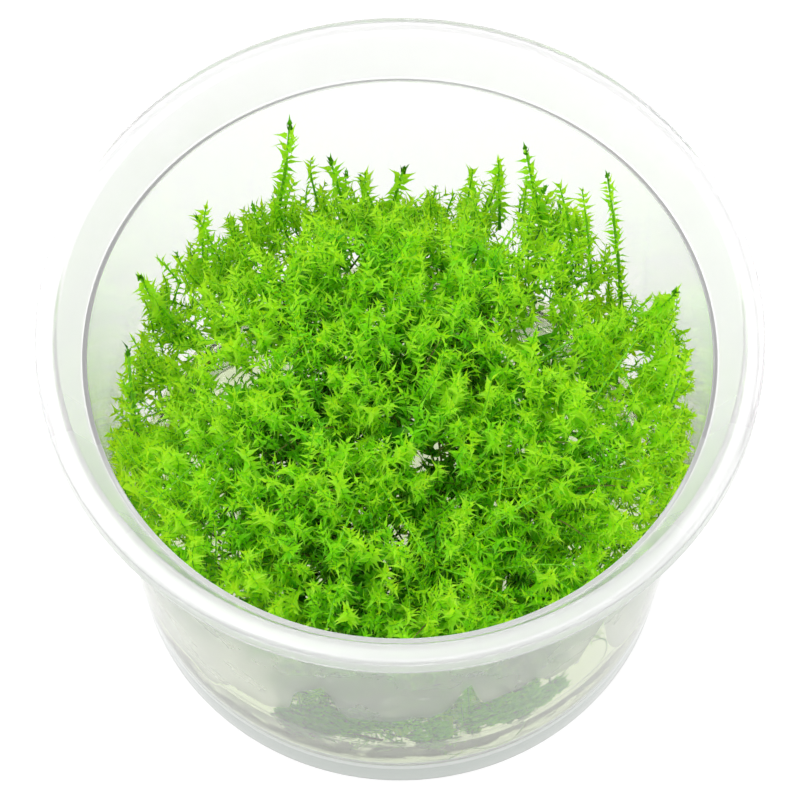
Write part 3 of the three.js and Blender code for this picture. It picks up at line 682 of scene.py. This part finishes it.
class Moss:
    """Collects shoots: stems with leaves in three twisting ranks, closing to a bud at the tip."""

    def __init__(self):
        self.vertices, self.data, self.faces, self.uses = [], [], [], []
        self.count = 0

    def keep(self, vertices, data, faces, use):
        self.vertices.append(vertices.reshape(-1, 3))
        self.data.append(data.reshape(-1, 4))
        self.faces.append(faces.reshape(-1, 3) + self.count)
        self.uses.append(np.full(len(self.faces[-1]), use))
        self.count += len(self.vertices[-1])

    def shoots(self, root, control, tip, reach=1.8, bare=0.05, age=0.3, stem=0.22, rows=FINE_LEAF, sides=3,
               pitch=LEAF_PITCH, bud=0.0, spread=66.0, head=USUAL_HEAD, width=0.18):
        """Leaves stand off the stem by spread degrees. The last ones do by head[0], at head[1] of the full size."""
        count = len(root)
        reach, bare, age, stem, bud = (np.broadcast_to(v, count).astype(float) for v in (reach, bare, age, stem, bud))
        length = 0.5 * (np.linalg.norm(control - root, axis=1) + np.linalg.norm(tip - control, axis=1)
                        + np.linalg.norm(tip - root, axis=1))
        self.stems(root, control, tip, length, age, stem, sides)
        leaves = np.maximum(3, (length * (1 - bare) / pitch).astype(int))
        owner, k = spread_out(leaves)
        t = bare[owner] + (1 - bare[owner]) * (k + 0.6) / leaves[owner]
        path = tuple(p[owner] for p in (root, control, tip))
        centre = curve_at(path, t)
        along, across, third = curve_frame(path, t)
        n = len(owner)
        phase = random.uniform(0, 2 * np.pi, count)
        turn = phase[owner] + np.radians(LEAF_TURN) * k + random.normal(0, 0.16, n)
        outward = turned(across, third, turn[:, None])
        to_tip = (1 - t) * length[owner]
        opened = smooth_step(0.0, OPENING, to_tip)
        closed = np.where(to_tip < BUD_LENGTH, bud[owner], 0.0)
        angle = head[0] + (spread - head[0]) * opened
        angle = angle * (1 - 0.72 * closed) + random.normal(0, 10, n) * (1 - 0.7 * closed)
        angle = np.radians(angle)[:, None]
        point, upper = turned(along, outward, angle), turned(-outward, along, angle)
        side = np.cross(along, outward)
        twist = random.normal(0, 0.28, n)[:, None]
        side, upper = turned(side, upper, twist), turned(upper, -side, twist)
        size = reach[owner] * (head[1] + (1 - head[1]) * opened) * random.uniform(0.78, 1.18, n)
        half = size * width * random.uniform(0.83, 1.17, n) * (1 + 0.25 * closed)
        curl = random.normal(0.07, 0.12, n) * size
        points, triangles = leaf_template(rows)
        u, v = points[:, 0][None, :, None], points[:, 1][None, :, None]
        base = centre + outward * (stem[owner] * 0.7)[:, None]
        vertices = (base[:, None] + point[:, None] * v * size[:, None, None]
                    + side[:, None] * u * half[:, None, None]
                    + upper[:, None] * (np.abs(u) * 0.45 * half[:, None, None] - v * v * curl[:, None, None]))
        leaf_age = np.clip(age[owner] + 0.20 * (1 - t) - 0.04 + 0.85 * closed * bud[owner]
                           + random.normal(0, 0.07, n), 0, 1)
        data = np.ones((n, len(points), 4))
        data[:, :, 0] = leaf_age[:, None]
        data[:, :, 1] = points[:, 1]
        data[:, :, 2] = random.uniform(0, 1, n)[:, None]
        faces = triangles[None] + (np.arange(n) * len(points))[:, None, None]
        self.keep(vertices, data, faces, 0)

    def stems(self, root, control, tip, length, age, stem, sides):
        segments = np.maximum(3, np.round(length / STEM_STEP).astype(int))
        owner, k = spread_out(segments + 1)
        t = k / segments[owner]
        path = tuple(p[owner] for p in (root, control, tip))
        centre = curve_at(path, t)
        _, across, third = curve_frame(path, t)
        angles = np.arange(sides) * 2 * np.pi / sides
        radius = stem[owner] * (1.0 - 0.55 * t)
        ring = turned(across[:, None], third[:, None], angles[None, :, None])
        vertices = centre[:, None] + ring * radius[:, None, None]
        data = np.ones((len(owner), sides, 4))
        data[:, :, 0] = np.clip(age[owner] + 0.4 * (1 - t) + 0.1, 0, 1)[:, None]
        data[:, :, 1] = t[:, None]
        lower = np.flatnonzero(k < segments[owner])
        j = np.arange(sides)
        after = (j + 1) % sides
        a, b = lower[:, None] * sides + j, lower[:, None] * sides + after
        c, d = b + sides, a + sides
        faces = np.stack([np.stack([a, b, c], -1), np.stack([a, c, d], -1)], axis=2)
        self.keep(vertices, data, faces, 1)

    def piece(self, name, slot, *nodes, shape=None, leaf=LEAF):
        vertices = np.concatenate(self.vertices)
        if shape:
            vertices = shape(vertices)
        obj = make_mesh(name, inside_wall(vertices, LEAF_GAP), [np.concatenate(self.faces)], [leaf, STEM],
                        [np.concatenate(self.uses)], np.concatenate(self.data))
        place(obj, slot, *nodes)


def inside_wall(points, clearance):
    """Pulls points in so that they stay that far from the wall."""
    limit = inner_radius(points[:, 2]) - clearance
    radius = np.hypot(points[:, 0], points[:, 1])
    share = np.minimum(1.0, limit / np.maximum(radius, 1e-6))
    points = points.copy()
    points[:, :2] *= share[:, None]
    return points


def bowed(root, tip, amount):
    """A middle control point that bends the line from root to tip sideways and lifts it."""
    length = np.linalg.norm(tip - root, axis=1, keepdims=True)
    off = random.normal(0, 1, root.shape)
    off[:, 2] = np.abs(off[:, 2]) * 0.4
    return (root + tip) / 2 + off * length * amount


def leaning(tilt, azimuth):
    """Directions that lean by a tilt toward an azimuth."""
    tilt = np.radians(tilt)
    azimuth = np.radians(azimuth)
    return np.stack([np.sin(tilt) * np.cos(azimuth), np.sin(tilt) * np.sin(azimuth), np.cos(tilt)], axis=1)


def sunflower(count, radius, jitter):
    i = np.arange(count) + 0.5
    r = radius * np.sqrt(i / count)
    turn = i * np.pi * (3 - np.sqrt(5))
    return r * np.cos(turn) + random.normal(0, jitter, count), r * np.sin(turn) + random.normal(0, jitter, count)


# The crown's shoots lean a little to the front, where the light is
TO_LIGHT = np.array([0.0, -0.22, 0.0])


def clump_lean(x, y):
    """Azimuth that the shoots of a clump lean to."""
    return 210.0 * wander(x, y, 24.0, 21)


def lit_through(x, y):
    """How much light comes through the moss from behind it: most at the back and the sides."""
    return smooth_step(12.0, 34.0, np.hypot(x, np.maximum(y, 0.0)))


def patches(x, y):
    """How much older or younger the moss is in large patches, most of all near the wall."""
    return (0.13 + 0.17 * smooth_step(14.0, 32.0, np.hypot(x, y))) * wander(x, y, 17.0, 33)


def aged(age, x, y, painted_backlight):
    """Ages of shoots, from the mean and spread of their group and by the patch they grow in, lowered where light
    comes through the moss so that it is painted paler there: painted backlight.
    """
    mean, spread = age
    return mean + patches(x, y) - painted_backlight * lit_through(x, y) + random.normal(0, spread, len(x))


def only(shoots, chosen):
    return {key: value[chosen] if isinstance(value, np.ndarray) else value for key, value in shoots.items()}


def free_of_gaps(shoots):
    """Leaves out the shoots that cross a light gap, and paints those beside it paler: painted light glowing round the
    gap.
    """
    path = (shoots["root"], shoots["control"], shoots["tip"])
    count = len(path[0])
    keep = np.ones(count, dtype=bool)
    beside = np.zeros(count)
    edge = random.uniform(0.7, 1.2, count)
    for t in np.linspace(0, 1, 7):
        from_camera = curve_at(path, np.full(count, t)) - CAMERA_PLACE
        for column, row, half in LIGHT_GAPS:
            way = sight(column, row)
            off = np.linalg.norm(from_camera - (from_camera @ way)[:, None] * way, axis=1)
            keep &= off > half * edge
            if row < TWIG_ROWS:
                beside = np.maximum(beside, np.exp(-((off / (half + PAINTED_GLOW_REACH)) ** 2)))
    with_painted_glow = dict(shoots, age=np.clip(shoots["age"] - PAINTED_GLOW_BESIDE_GAPS * beside, 0, 1))
    return only(with_painted_glow, keep)


def under_skyline(shoots):
    """Shortens the shoots that would show over the skyline, and leaves out those that still do."""
    root, control, tip = shoots["root"], shoots["control"], shoots["tip"]
    share = np.ones(len(root))
    for shorter in (0.8, 0.6, 0.4):
        share[over_skyline(root + (tip - root) * (share[:, None] + 0.1))] = shorter
    tip = root + (tip - root) * share[:, None]
    control = root + (control - root) * share[:, None]
    return only(dict(shoots, tip=tip, control=control), ~over_skyline(tip) & ~over_skyline(root))


def crown(count, depth, length, tilt, age, jitter, reach=(1.35, 1.95), **looks):
    """Shoots that rise out of the moss's top."""
    x, y = sunflower(count, CROWN_R, jitter)
    radius = np.hypot(x, y)
    x, y = x * np.minimum(1, CROWN_LIMIT / radius), y * np.minimum(1, CROWN_LIMIT / radius)
    z = canopy_height(x, y) - random.uniform(*depth, count)
    root = inside_wall(np.stack([x, y, z], axis=1), 1.2)
    leans_out = random.uniform(0, 1, count) < 0.25 + 0.45 * smooth_step(20.0, 36.0, radius)
    toward = np.where(leans_out, azimuth_of(x, y), clump_lean(x, y)) + random.normal(0, 38, count)
    way = unit(leaning(np.abs(random.normal(*tilt, count)), toward) + TO_LIGHT)
    tip = inside_wall(root + way * random.uniform(*length, count)[:, None], 0.9)
    control = inside_wall(bowed(root, tip, 0.10), 0.9)
    # The age is raised in the hollows, so they are painted darker as painted shade, and lowered where light comes
    # through, painted paler as painted backlight.
    age_and_painted_light = aged(age, x, y, PAINTED_BACKLIGHT_CROWN) + 0.10 * wander(x, y, 11.0, 31) + 0.08 * dips(x, y, HOLLOWS)
    return dict(root=root, control=control, tip=tip, reach=random.uniform(*reach, count),
                age=np.clip(age_and_painted_light, 0, 1), **looks)


def flank(count, inner, outer, low, below_top, length, age, reach=(1.4, 1.9), **looks):
    """Shoots in the body of the moss."""
    azimuth = random.uniform(0, 360, count)
    radius = np.sqrt(random.uniform(inner ** 2, outer ** 2, count))
    root = polar(radius, azimuth, 0.0)
    top = canopy_height(root[:, 0], root[:, 1]) - below_top
    root[:, 2] = low + (top - low) * random.uniform(0, 1, count)
    way = leaning(random.uniform(15, 100, count), azimuth + random.normal(0, 80, count))
    tip = root + way * random.uniform(*length, count)[:, None]
    tip[:, 2] = np.maximum(tip[:, 2], low)
    tip = inside_wall(tip, 0.5)
    root = inside_wall(root, 0.8)
    control = inside_wall(bowed(root, tip, 0.12), 0.4)
    # Paler where light comes through the moss: painted backlight.
    age_and_painted_light = aged(age, root[:, 0], root[:, 1], PAINTED_BACKLIGHT_FLANK)
    return dict(root=root, control=control, tip=tip, reach=random.uniform(*reach, count),
                age=np.clip(age_and_painted_light, 0, 1), **looks)


def thinned(shoots, share):
    """Leaves out that share of the shoots where light comes through."""
    root = shoots["root"]
    return only(shoots, random.uniform(0, 1, len(root)) > share * lit_through(root[:, 0], root[:, 1]))


def runners(count, radius, length, rise, age, **looks):
    """Long shoots that arch over the top."""
    x, y = sunflower(count, radius, 3.0)
    root = np.stack([x, y, canopy_height(x, y) - random.uniform(1, 5, count)], axis=1)
    toward = np.radians(azimuth_of(x, y) + random.normal(0, 60, count))
    run = random.uniform(*length, count)
    tip = root + np.stack([run * np.cos(toward), run * np.sin(toward), np.zeros(count)], axis=1)
    tip = inside_wall(tip, 2.0)
    tip[:, 2] = canopy_height(tip[:, 0], tip[:, 1]) + random.uniform(*rise, count)
    control = (root + tip) / 2
    control[:, 2] += random.uniform(3.5, 7.0, count)
    return dict(root=root, control=inside_wall(control, 1.5), tip=tip, reach=random.uniform(1.4, 1.9, count),
                age=np.clip(random.normal(*age, count), 0, 1), **looks)


def gap_twigs(each):
    """Thin pale shoots low in the light gaps of the moss's top."""
    gaps = [gap for gap in LIGHT_GAPS if gap[1] < TWIG_ROWS]
    middle = []
    for column, row, half in gaps:
        way = sight(column, row)
        z = random.uniform(24.0, 38.0, each)
        reach = (z - CAMERA_PLACE[2]) / way[2]
        middle.append(CAMERA_PLACE + reach[:, None] * way + random.normal(0, 0.5 * half + 0.3, (each, 3)))
    middle = np.concatenate(middle)
    count = len(middle)
    way = leaning(random.uniform(20, 85, count), random.uniform(0, 360, count))
    half_length = random.uniform(1.5, 3.2, count)[:, None]
    root = inside_wall(middle - way * half_length, 0.8)
    tip = inside_wall(middle + way * half_length, 0.8)
    return dict(root=root, control=inside_wall(bowed(root, tip, 0.15), 0.8), tip=tip,
                reach=random.uniform(0.9, 1.4, count), age=random.uniform(0.0, 0.1, count), stem=0.1, pitch=0.8,
                width=0.15)


def edge_shoots(count):
    """Pale shoots by the wall at the back and the sides, where light comes through them."""
    azimuth = random.uniform(-28, 208, count)
    root = polar(random.uniform(35.5, 41.0, count), azimuth, 0.0)
    root[:, 2] = canopy_height(root[:, 0], root[:, 1]) - random.uniform(1, 7, count)
    root = inside_wall(root, 1.0)
    way = leaning(random.uniform(0, 28, count), azimuth + random.normal(0, 90, count))
    tip = inside_wall(root + way * random.uniform(5.5, 10.0, count)[:, None], 1.0)
    return dict(root=root, control=inside_wall(bowed(root, tip, 0.08), 0.9), tip=tip,
                reach=random.uniform(1.3, 1.8, count), age=random.uniform(0.0, 0.14, count), stem=0.15, width=0.2)


def sector_of(points):
    return np.floor(np.mod(azimuth_of(points[:, 0], points[:, 1]), 360.0) / 90.0).astype(int)


def moss_body():
    """The whole tangle, by sectors."""
    groups = (
        crown(940, depth=(0.5, 4.5), length=(6.0, 10.0), tilt=(0, 30), age=(0.15, 0.09), jitter=0.9,
              reach=(1.25, 1.85), stem=0.15, head=STAR_HEAD, width=0.14),
        crown(110, depth=(3.0, 7.0), length=(11.0, 14.0), tilt=(0, 24), age=(0.13, 0.08), jitter=1.5, stem=0.2,
              head=STAR_HEAD),
        crown(930, depth=(4.0, 9.0), length=(6.0, 10.0), tilt=(0, 40), age=(0.35, 0.12), jitter=1.2, stem=0.17),
        runners(46, radius=30.0, length=(13.0, 24.0), rise=(0.0, 3.0), age=(0.16, 0.10)),
        runners(16, radius=32.0, length=(9.0, 16.0), rise=(0.5, 2.0), age=(0.88, 0.05), pitch=0.9, stem=0.2),
        edge_shoots(190),
        thinned(crown(860, depth=(8.0, 14.0), length=(7.0, 12.0), tilt=(0, 60), age=(0.58, 0.13), jitter=1.2,
                      rows=PLAIN_LEAF, stem=0.2), share=0.75),
        thinned(flank(1450, inner=30.0, outer=41.0, low=13.5, below_top=5.0, length=(5.0, 10.0), age=(0.26, 0.13),
                      rows=PLAIN_LEAF), share=0.72),
        thinned(flank(750, inner=0.0, outer=31.0, low=16.0, below_top=11.0, length=(6.0, 12.0), age=(0.82, 0.08),
                      rows=PLAIN_LEAF, reach=(2.3, 3.1), pitch=0.6, width=0.27), share=0.6),
    )
    groups = [free_of_gaps(under_skyline(group)) for group in groups]
    groups.append(gap_twigs(4))
    for number, sector in enumerate(SECTORS):
        moss = Moss()
        for group in groups:
            moss.shoots(**only(group, sector_of(group["root"]) == number))
        moss.piece("moss_mass_" + sector, "moss_stems", "moss_tangle")


ROOT_ZONE = 0.6  # height of a solid shoot's lower end
STEM_ZONE = 3.0  # how far from its centre line a shoot's own leaves reach
BRANCH_ZONE = 3.6  # what lies farther out is a side branch


def centre_line(node):
    """Root, middle control point and tip of a solid shoot, and the tip of its side branch if it has one."""
    co = np.array([v.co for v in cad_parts[node].data.vertices], dtype=float) / MM
    root = co[co[:, 2] < co[:, 2].min() + ROOT_ZONE].mean(axis=0)
    tip = co[np.argmax(np.linalg.norm(co - root, axis=1))]
    middle = (root + tip) / 2
    near = np.ones(len(co), dtype=bool)
    for _ in range(4):
        t = np.clip((co - root) @ (tip - root) / np.sum((tip - root) ** 2), 0, 1)
        weight = (4 * t * (1 - t))[near][:, None]
        straight = root + t[:, None] * (tip - root)
        bend = (weight * (co - straight)[near]).sum(axis=0) / np.maximum((weight ** 2).sum(), 1e-6)
        middle = (root + tip) / 2 + 2 * bend
        line = curve_at((root, middle, tip), t)
        off = np.linalg.norm(co - line, axis=1)
        near = off < STEM_ZONE
    branch = None
    if off.max() > BRANCH_ZONE:
        branch = (curve_at((root, middle, tip), np.array([0.5]))[0], co[np.argmax(off)])
    return root, middle, tip, branch


DARK_BUDS = (1, 2, 4, 6, 9, 11, 20, 21)
SHORT_LEAVES = {8: 1.5, 9: 1.6}  # leaf length of the shoots whose leaves are shorter


def standing_shoots():
    names = sorted(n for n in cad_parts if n.startswith("moss_shoot_"))
    for number, node in enumerate(names, start=1):
        root, middle, tip, branch = centre_line(node)
        dark = number in DARK_BUDS
        moss = Moss()
        moss.shoots(root[None], middle[None], tip[None], reach=SHORT_LEAVES.get(number, 2.0), bare=0.08,
                    age=0.20 if dark else 0.10, stem=0.36 if dark else 0.25, sides=6, bud=1.0 if dark else 0.2,
                    spread=72.0, width=0.21, pitch=0.42)
        if branch:
            start, end = branch
            moss.shoots(start[None], ((start + end) / 2)[None], end[None], reach=1.5, bare=0.05, age=0.12, stem=0.2,
                        sides=4, bud=0.2)
        moss.piece("leafy" + node[4:], "moss_leaves", node)


# Small tips along the moss's outline, (x, y, z)
SMALL_TIPS = [
    (-13.6, 36.4, 43.8), (-8.0, 37.8, 45.7), (-5.8, 38.0, 44.3), (5.2, 38.0, 41.4), (14.2, 36.4, 51.1),
    (38.4, 8.1, 57.0), (39.4, -2.8, 66.0), (38.8, -12.0, 57.0), (-25.0, 29.7, 46.9), (-29.2, 26.0, 53.8),
    (-38.0, 8.0, 50.5), (-39.0, 0.9, 51.2), (-12.9, 36.7, 51.1), (-8.1, 37.6, 40.6), (8.0, 37.5, 40.0),
    (18.4, 34.3, 49.8), (34.0, 18.0, 43.3), (35.8, 15.1, 48.9), (37.2, 12.5, 54.3), (-35.3, 16.0, 47.2),
    (-21.5, 32.0, 45.8), (-18.7, 33.8, 45.7), (21.0, 32.5, 51.0), (-32.0, 21.5, 51.0), (-34.5, 18.5, 55.0),
]


def small_tips():
    tip = inside_wall(np.array(SMALL_TIPS, dtype=float), 1.2)
    count = len(tip)
    outward = azimuth_of(tip[:, 0], tip[:, 1])
    way = leaning(random.uniform(8, 28, count), outward + random.normal(0, 30, count))
    root = inside_wall(tip - way * random.uniform(8, 12, count)[:, None], 2.0)
    moss = Moss()
    moss.shoots(root, inside_wall(bowed(root, tip, 0.05), 1.2), tip, reach=random.uniform(1.3, 1.7, count),
                age=0.10, stem=0.2, sides=4, bud=random.uniform(0, 1, count) > 0.75)
    moss.piece("moss_outline_tips", "moss_leaves", "moss_tangle")


# Shoots pressed to the near wall, by column and row in the picture: foot, middle, tip, leaf length, age
WALL_SHOOTS = [
    ((474, 738), (470, 712), (469, 687), 2.0, 0.40), ((470, 735), (464, 722), (462, 708), 1.2, 0.46),
    ((480, 728), (505, 712), (536, 684), 1.5, 0.44), ((478, 722), (500, 706), (520, 694), 1.5, 0.48),
    ((484, 716), (495, 708), (505, 700), 1.4, 0.48), ((482, 730), (515, 716), (548, 692), 1.4, 0.42),
    ((484, 726), (520, 712), (562, 678), 1.3, 0.36), ((520, 722), (540, 706), (566, 684), 1.1, 0.32),
    ((500, 722), (530, 714), (556, 696), 1.3, 0.40), ((545, 700), (558, 692), (573, 685), 0.9, 0.40),
    ((446, 738), (440, 730), (436, 722), 1.3, 0.46), ((436, 734), (442, 727), (450, 724), 1.1, 0.46),
    ((455, 733), (465, 728), (475, 728), 1.2, 0.42), ((462, 740), (450, 740), (440, 734), 1.2, 0.42),
    ((414, 738), (430, 746), (446, 752), 0.8, 0.12), ((420, 742), (440, 748), (466, 742), 0.8, 0.12),
    ((440, 752), (455, 758), (468, 752), 0.8, 0.10), ((450, 760), (460, 752), (478, 746), 0.8, 0.12),
    ((426, 762), (440, 760), (452, 760), 0.4, 0.50), ((430, 742), (444, 744), (456, 746), 0.9, 0.20),
    ((469, 748), (499, 750), (517, 736), 0.7, 0.14), ((517, 736), (523, 730), (526, 721), 0.6, 0.20),
    ((408, 727), (416, 722), (427, 711), 1.1, 0.42), ((380, 720), (395, 723), (410, 722), 0.8, 0.40),
    ((562, 677), (577, 658), (594, 638), 0.6, 0.50), ((594, 638), (600, 630), (606, 619), 0.5, 0.50),
    ((594, 641), (612, 632), (608, 650), 0.6, 0.45), ((608, 650), (606, 656), (600, 662), 0.5, 0.55),
    ((236, 689), (243, 692), (251, 698), 0.5, 0.70), ((301, 706), (303, 699), (312, 694), 1.2, 0.28),
    ((303, 701), (312, 693), (326, 689), 1.2, 0.20), ((302, 704), (315, 700), (324, 690), 1.0, 0.24),
    ((300, 708), (297, 699), (298, 694), 0.8, 0.30), ((350, 750), (354, 748), (358, 744), 0.9, 0.18),
    ((358, 748), (364, 744), (369, 741), 0.8, 0.20), ((376, 752), (384, 751), (391, 750), 0.7, 0.20),
    ((318, 746), (324, 747), (330, 748), 0.6, 0.24), ((364, 735), (380, 733), (398, 732), 0.9, 0.14),
    ((368, 728), (384, 726), (400, 724), 0.8, 0.26), ((330, 741), (345, 740), (360, 738), 0.7, 0.22),
]

# Mats of dark moss pressed to the near wall: corners by column and row in the picture, how many shoots, age
PRESSED_MATS = [
    ([(267, 711), (298, 711), (301, 702), (313, 706), (328, 710), (351, 710), (365, 711), (375, 717), (400, 721),
      (400, 728), (362, 732), (344, 736), (307, 738), (283, 733)], 420, 0.66),
    ([(484, 704), (497, 700), (520, 692), (534, 684), (540, 690), (560, 677), (570, 686), (546, 705), (528, 719),
      (505, 724), (478, 728), (462, 728), (466, 712)], 330, 0.56),
    ([(406, 724), (424, 722), (442, 716), (450, 744), (430, 752), (412, 748), (402, 738)], 70, 0.50),
    ([(432, 724), (446, 724), (450, 736), (440, 740), (431, 734)], 60, 0.50),
]


def on_wall(azimuth, z, inset):
    return polar(inner_radius(z) - inset, azimuth, z)


def pressed(points):
    """Flattens what lies close to the wall against it."""
    radius = np.hypot(points[:, 0], points[:, 1])
    depth = np.maximum(inner_radius(points[:, 2]) - radius, 0.0)
    points = points.copy()
    points[:, :2] *= ((radius + 0.75 * depth - 0.08) / radius)[:, None]
    return points


def within(places, corners):
    """Which (column, row) places are inside an outline."""
    inside = np.zeros(len(places), dtype=bool)
    for (x0, y0), (x1, y1) in zip(corners, corners[1:] + corners[:1]):
        crosses = (y0 > places[:, 1]) != (y1 > places[:, 1])
        inside ^= crosses & (places[:, 0] < x0 + (places[:, 1] - y0) * (x1 - x0) / (y1 - y0 + 1e-9))
    return inside


def mat_shoots(corners, count, age):
    """Short shoots that lie flat on the near wall inside an outline."""
    low, high = np.min(corners, axis=0), np.max(corners, axis=0)
    foot = random.uniform(low, high, (count * 8, 2))
    run = np.stack([random.uniform(4, 14, count * 8), random.normal(-1.5, 2.5, count * 8)], axis=1)
    chosen = within(foot, corners) & within(foot + run, corners)
    foot, run = foot[chosen][:count], run[chosen][:count]
    inset = random.uniform(0.2, 1.6, len(foot))
    root, tip = (np.array([on_wall(*near_wall(*spot), deep) for spot, deep in zip(spots, inset)])
                 for spots in (foot, foot + run))
    return dict(root=root, control=(root + tip) / 2, tip=tip, reach=random.uniform(1.5, 2.3, len(foot)),
                age=np.clip(random.normal(age, 0.02, len(foot)), 0, 1), stem=0.18, rows=PLAIN_LEAF, width=0.46)


def wall_fronds():
    moss = Moss()
    for foot, middle, tip, leaf_length, age in WALL_SHOOTS:
        reach = leaf_length * FROND_SCALE
        inset = min(reach * 0.45, 0.9) + 0.15
        ends = (on_wall(*near_wall(*spot), inset)[None] for spot in (foot, middle, tip))
        moss.shoots(*ends, reach=reach, age=age, stem=0.2 if reach > 1 else 0.16, sides=4,
                    pitch=0.34 if reach > 1 else 0.7, width=0.28)
    for corners, count, age in PRESSED_MATS:
        moss.shoots(**mat_shoots(corners, count, age))
    moss.piece("moss_on_wall", "moss_stems", "moss_tangle", shape=pressed, leaf=LEAF_ON_WALL)


# Drops on the inside of the wall: azimuth, height, half width, half height
DROPS = [
    (265.2, 42.2, 0.5, 0.4), (268.4, 39.3, 0.5, 0.35), (271.4, 40.5, 0.45, 0.5), (274.5, 37.6, 0.8, 0.9),
    (242.0, 27.1, 0.6, 0.5), (247.6, 28.5, 0.7, 0.4), (252.7, 36.1, 0.6, 0.35), (254.7, 43.9, 0.4, 0.4),
    (257.0, 42.5, 0.45, 0.5), (259.3, 35.5, 0.8, 0.5), (260.4, 34.2, 0.4, 0.5), (250.7, 43.1, 0.35, 0.4),
    (285.1, 39.6, 0.45, 0.45), (294.9, 33.8, 0.4, 0.4), (267.4, 36.6, 0.55, 0.5), (269.1, 38.4, 0.6, 0.5),
    (243.5, 33.5, 0.45, 0.35), (245.4, 31.2, 0.9, 0.35), (246.6, 29.4, 1.1, 0.35), (276.8, 43.5, 0.5, 0.3),
    (307.0, 30.0, 0.4, 0.35), (262.5, 38.2, 0.3, 0.3), (280.0, 33.0, 0.3, 0.35), (298.5, 37.5, 0.35, 0.35),
    (41.0, 45.0, 0.4, 0.5),
]


DROP_GAP = 0.02
DROP_BULGE = 0.42  # thickness of a drop as a share of its smaller half measure


def wall_drops():
    """Flat water domes on the wall, each a closed body with its flat side a hair off the plastic."""
    turns, rows = 14, 5
    dome, faces, count = [], [], 0
    around = np.arange(turns) * 2 * np.pi / turns
    j = np.arange(turns)
    after = (j + 1) % turns
    for azimuth, z, half_width, half_height in DROPS:
        bulge = DROP_BULGE * min(half_width, half_height)
        for i in range(rows):
            out = math.cos(i / rows * math.pi / 2)
            thick = DROP_GAP + bulge * math.sin(i / rows * math.pi / 2)
            sag = -0.15 * half_height * (1 - out)
            height = z + sag + half_height * out * np.sin(around)
            bearing = azimuth + np.degrees(half_width * out * np.cos(around) / 40.0)
            dome.append(polar(inner_radius(height) - thick, bearing, height))
        dome.append(polar(inner_radius(z) - np.array([DROP_GAP + bulge, DROP_GAP]), azimuth, np.array([z, z])))
        for i in range(rows - 1):
            a, b = count + i * turns + j, count + i * turns + after
            faces += [np.stack([a, b, b + turns], 1), np.stack([a, b + turns, a + turns], 1)]
        last = count + (rows - 1) * turns
        faces += [np.stack([last + j, last + after, np.full(turns, count + rows * turns)], 1),
                  np.stack([count + after, count + j, np.full(turns, count + rows * turns + 1)], 1)]
        count += rows * turns + 2
    obj = make_mesh("water_drops", np.concatenate(dome), [np.concatenate(faces)], [WATER])
    place(obj, "clear_gel", "gel")


# Stage

FLOOR_HALF = 2500.0
FLOOR_DROP = 0.0001  # metres under the foot, so that the two don't share a face

# Name, place, size and power of each lamp. They look at a point over the middle of the foot.
LAMPS = [
    ("key_softbox", (-0.35, 0.25, 0.85), 0.6, 4.3),
    ("front_softbox", (0.45, -0.55, 0.75), 0.7, 1.7),
]
LAMPS_AIM = (0.0, 0.0, 0.04)


def stage():
    half = FLOOR_HALF
    vertices = [[-half, -half, 0], [half, -half, 0], [half, half, 0], [-half, half, 0]]
    floor = make_mesh("floor", vertices, [np.array([[0, 1, 2, 3]])], [floor_material()], smooth=False)
    floor.location.z = -FLOOR_DROP

    world = bpy.data.worlds.new("studio")
    world.use_nodes = True
    background = world.node_tree.nodes["Background"]
    background.inputs["Color"].default_value = (1.0, 1.0, 1.0, 1.0)
    background.inputs["Strength"].default_value = 1.0
    bpy.context.scene.world = world

    for name, place_at, size, power in LAMPS:
        data = bpy.data.lights.new(name, "AREA")
        data.shape = "SQUARE"
        data.size = size
        data.energy = power
        lamp = linked(name, data)
        lamp.location = place_at
        aim = np.array(LAMPS_AIM) - np.array(place_at)
        yaw = math.atan2(aim[1], aim[0])
        drop = math.acos(-aim[2] / np.linalg.norm(aim))
        lamp.rotation_euler = (0.0, -drop, yaw)


def camera():
    tilt = math.radians(CAMERA_ELEVATION)
    data = bpy.data.cameras.new("photo_camera")
    data.lens = LENS_MM
    data.sensor_width = SENSOR_MM
    data.sensor_fit = "HORIZONTAL"
    data.clip_start = 0.01
    obj = linked("photo_camera", data)
    obj.location = CAMERA_PLACE * MM
    obj.rotation_euler = (math.pi / 2 - tilt, 0.0, 0.0)
    bpy.context.scene.camera = obj
    bpy.context.scene.view_settings.view_transform = "Standard"


camera()
stage()
cup()
gel()
moss_body()
standing_shoots()
small_tips()
wall_fronds()
wall_drops()
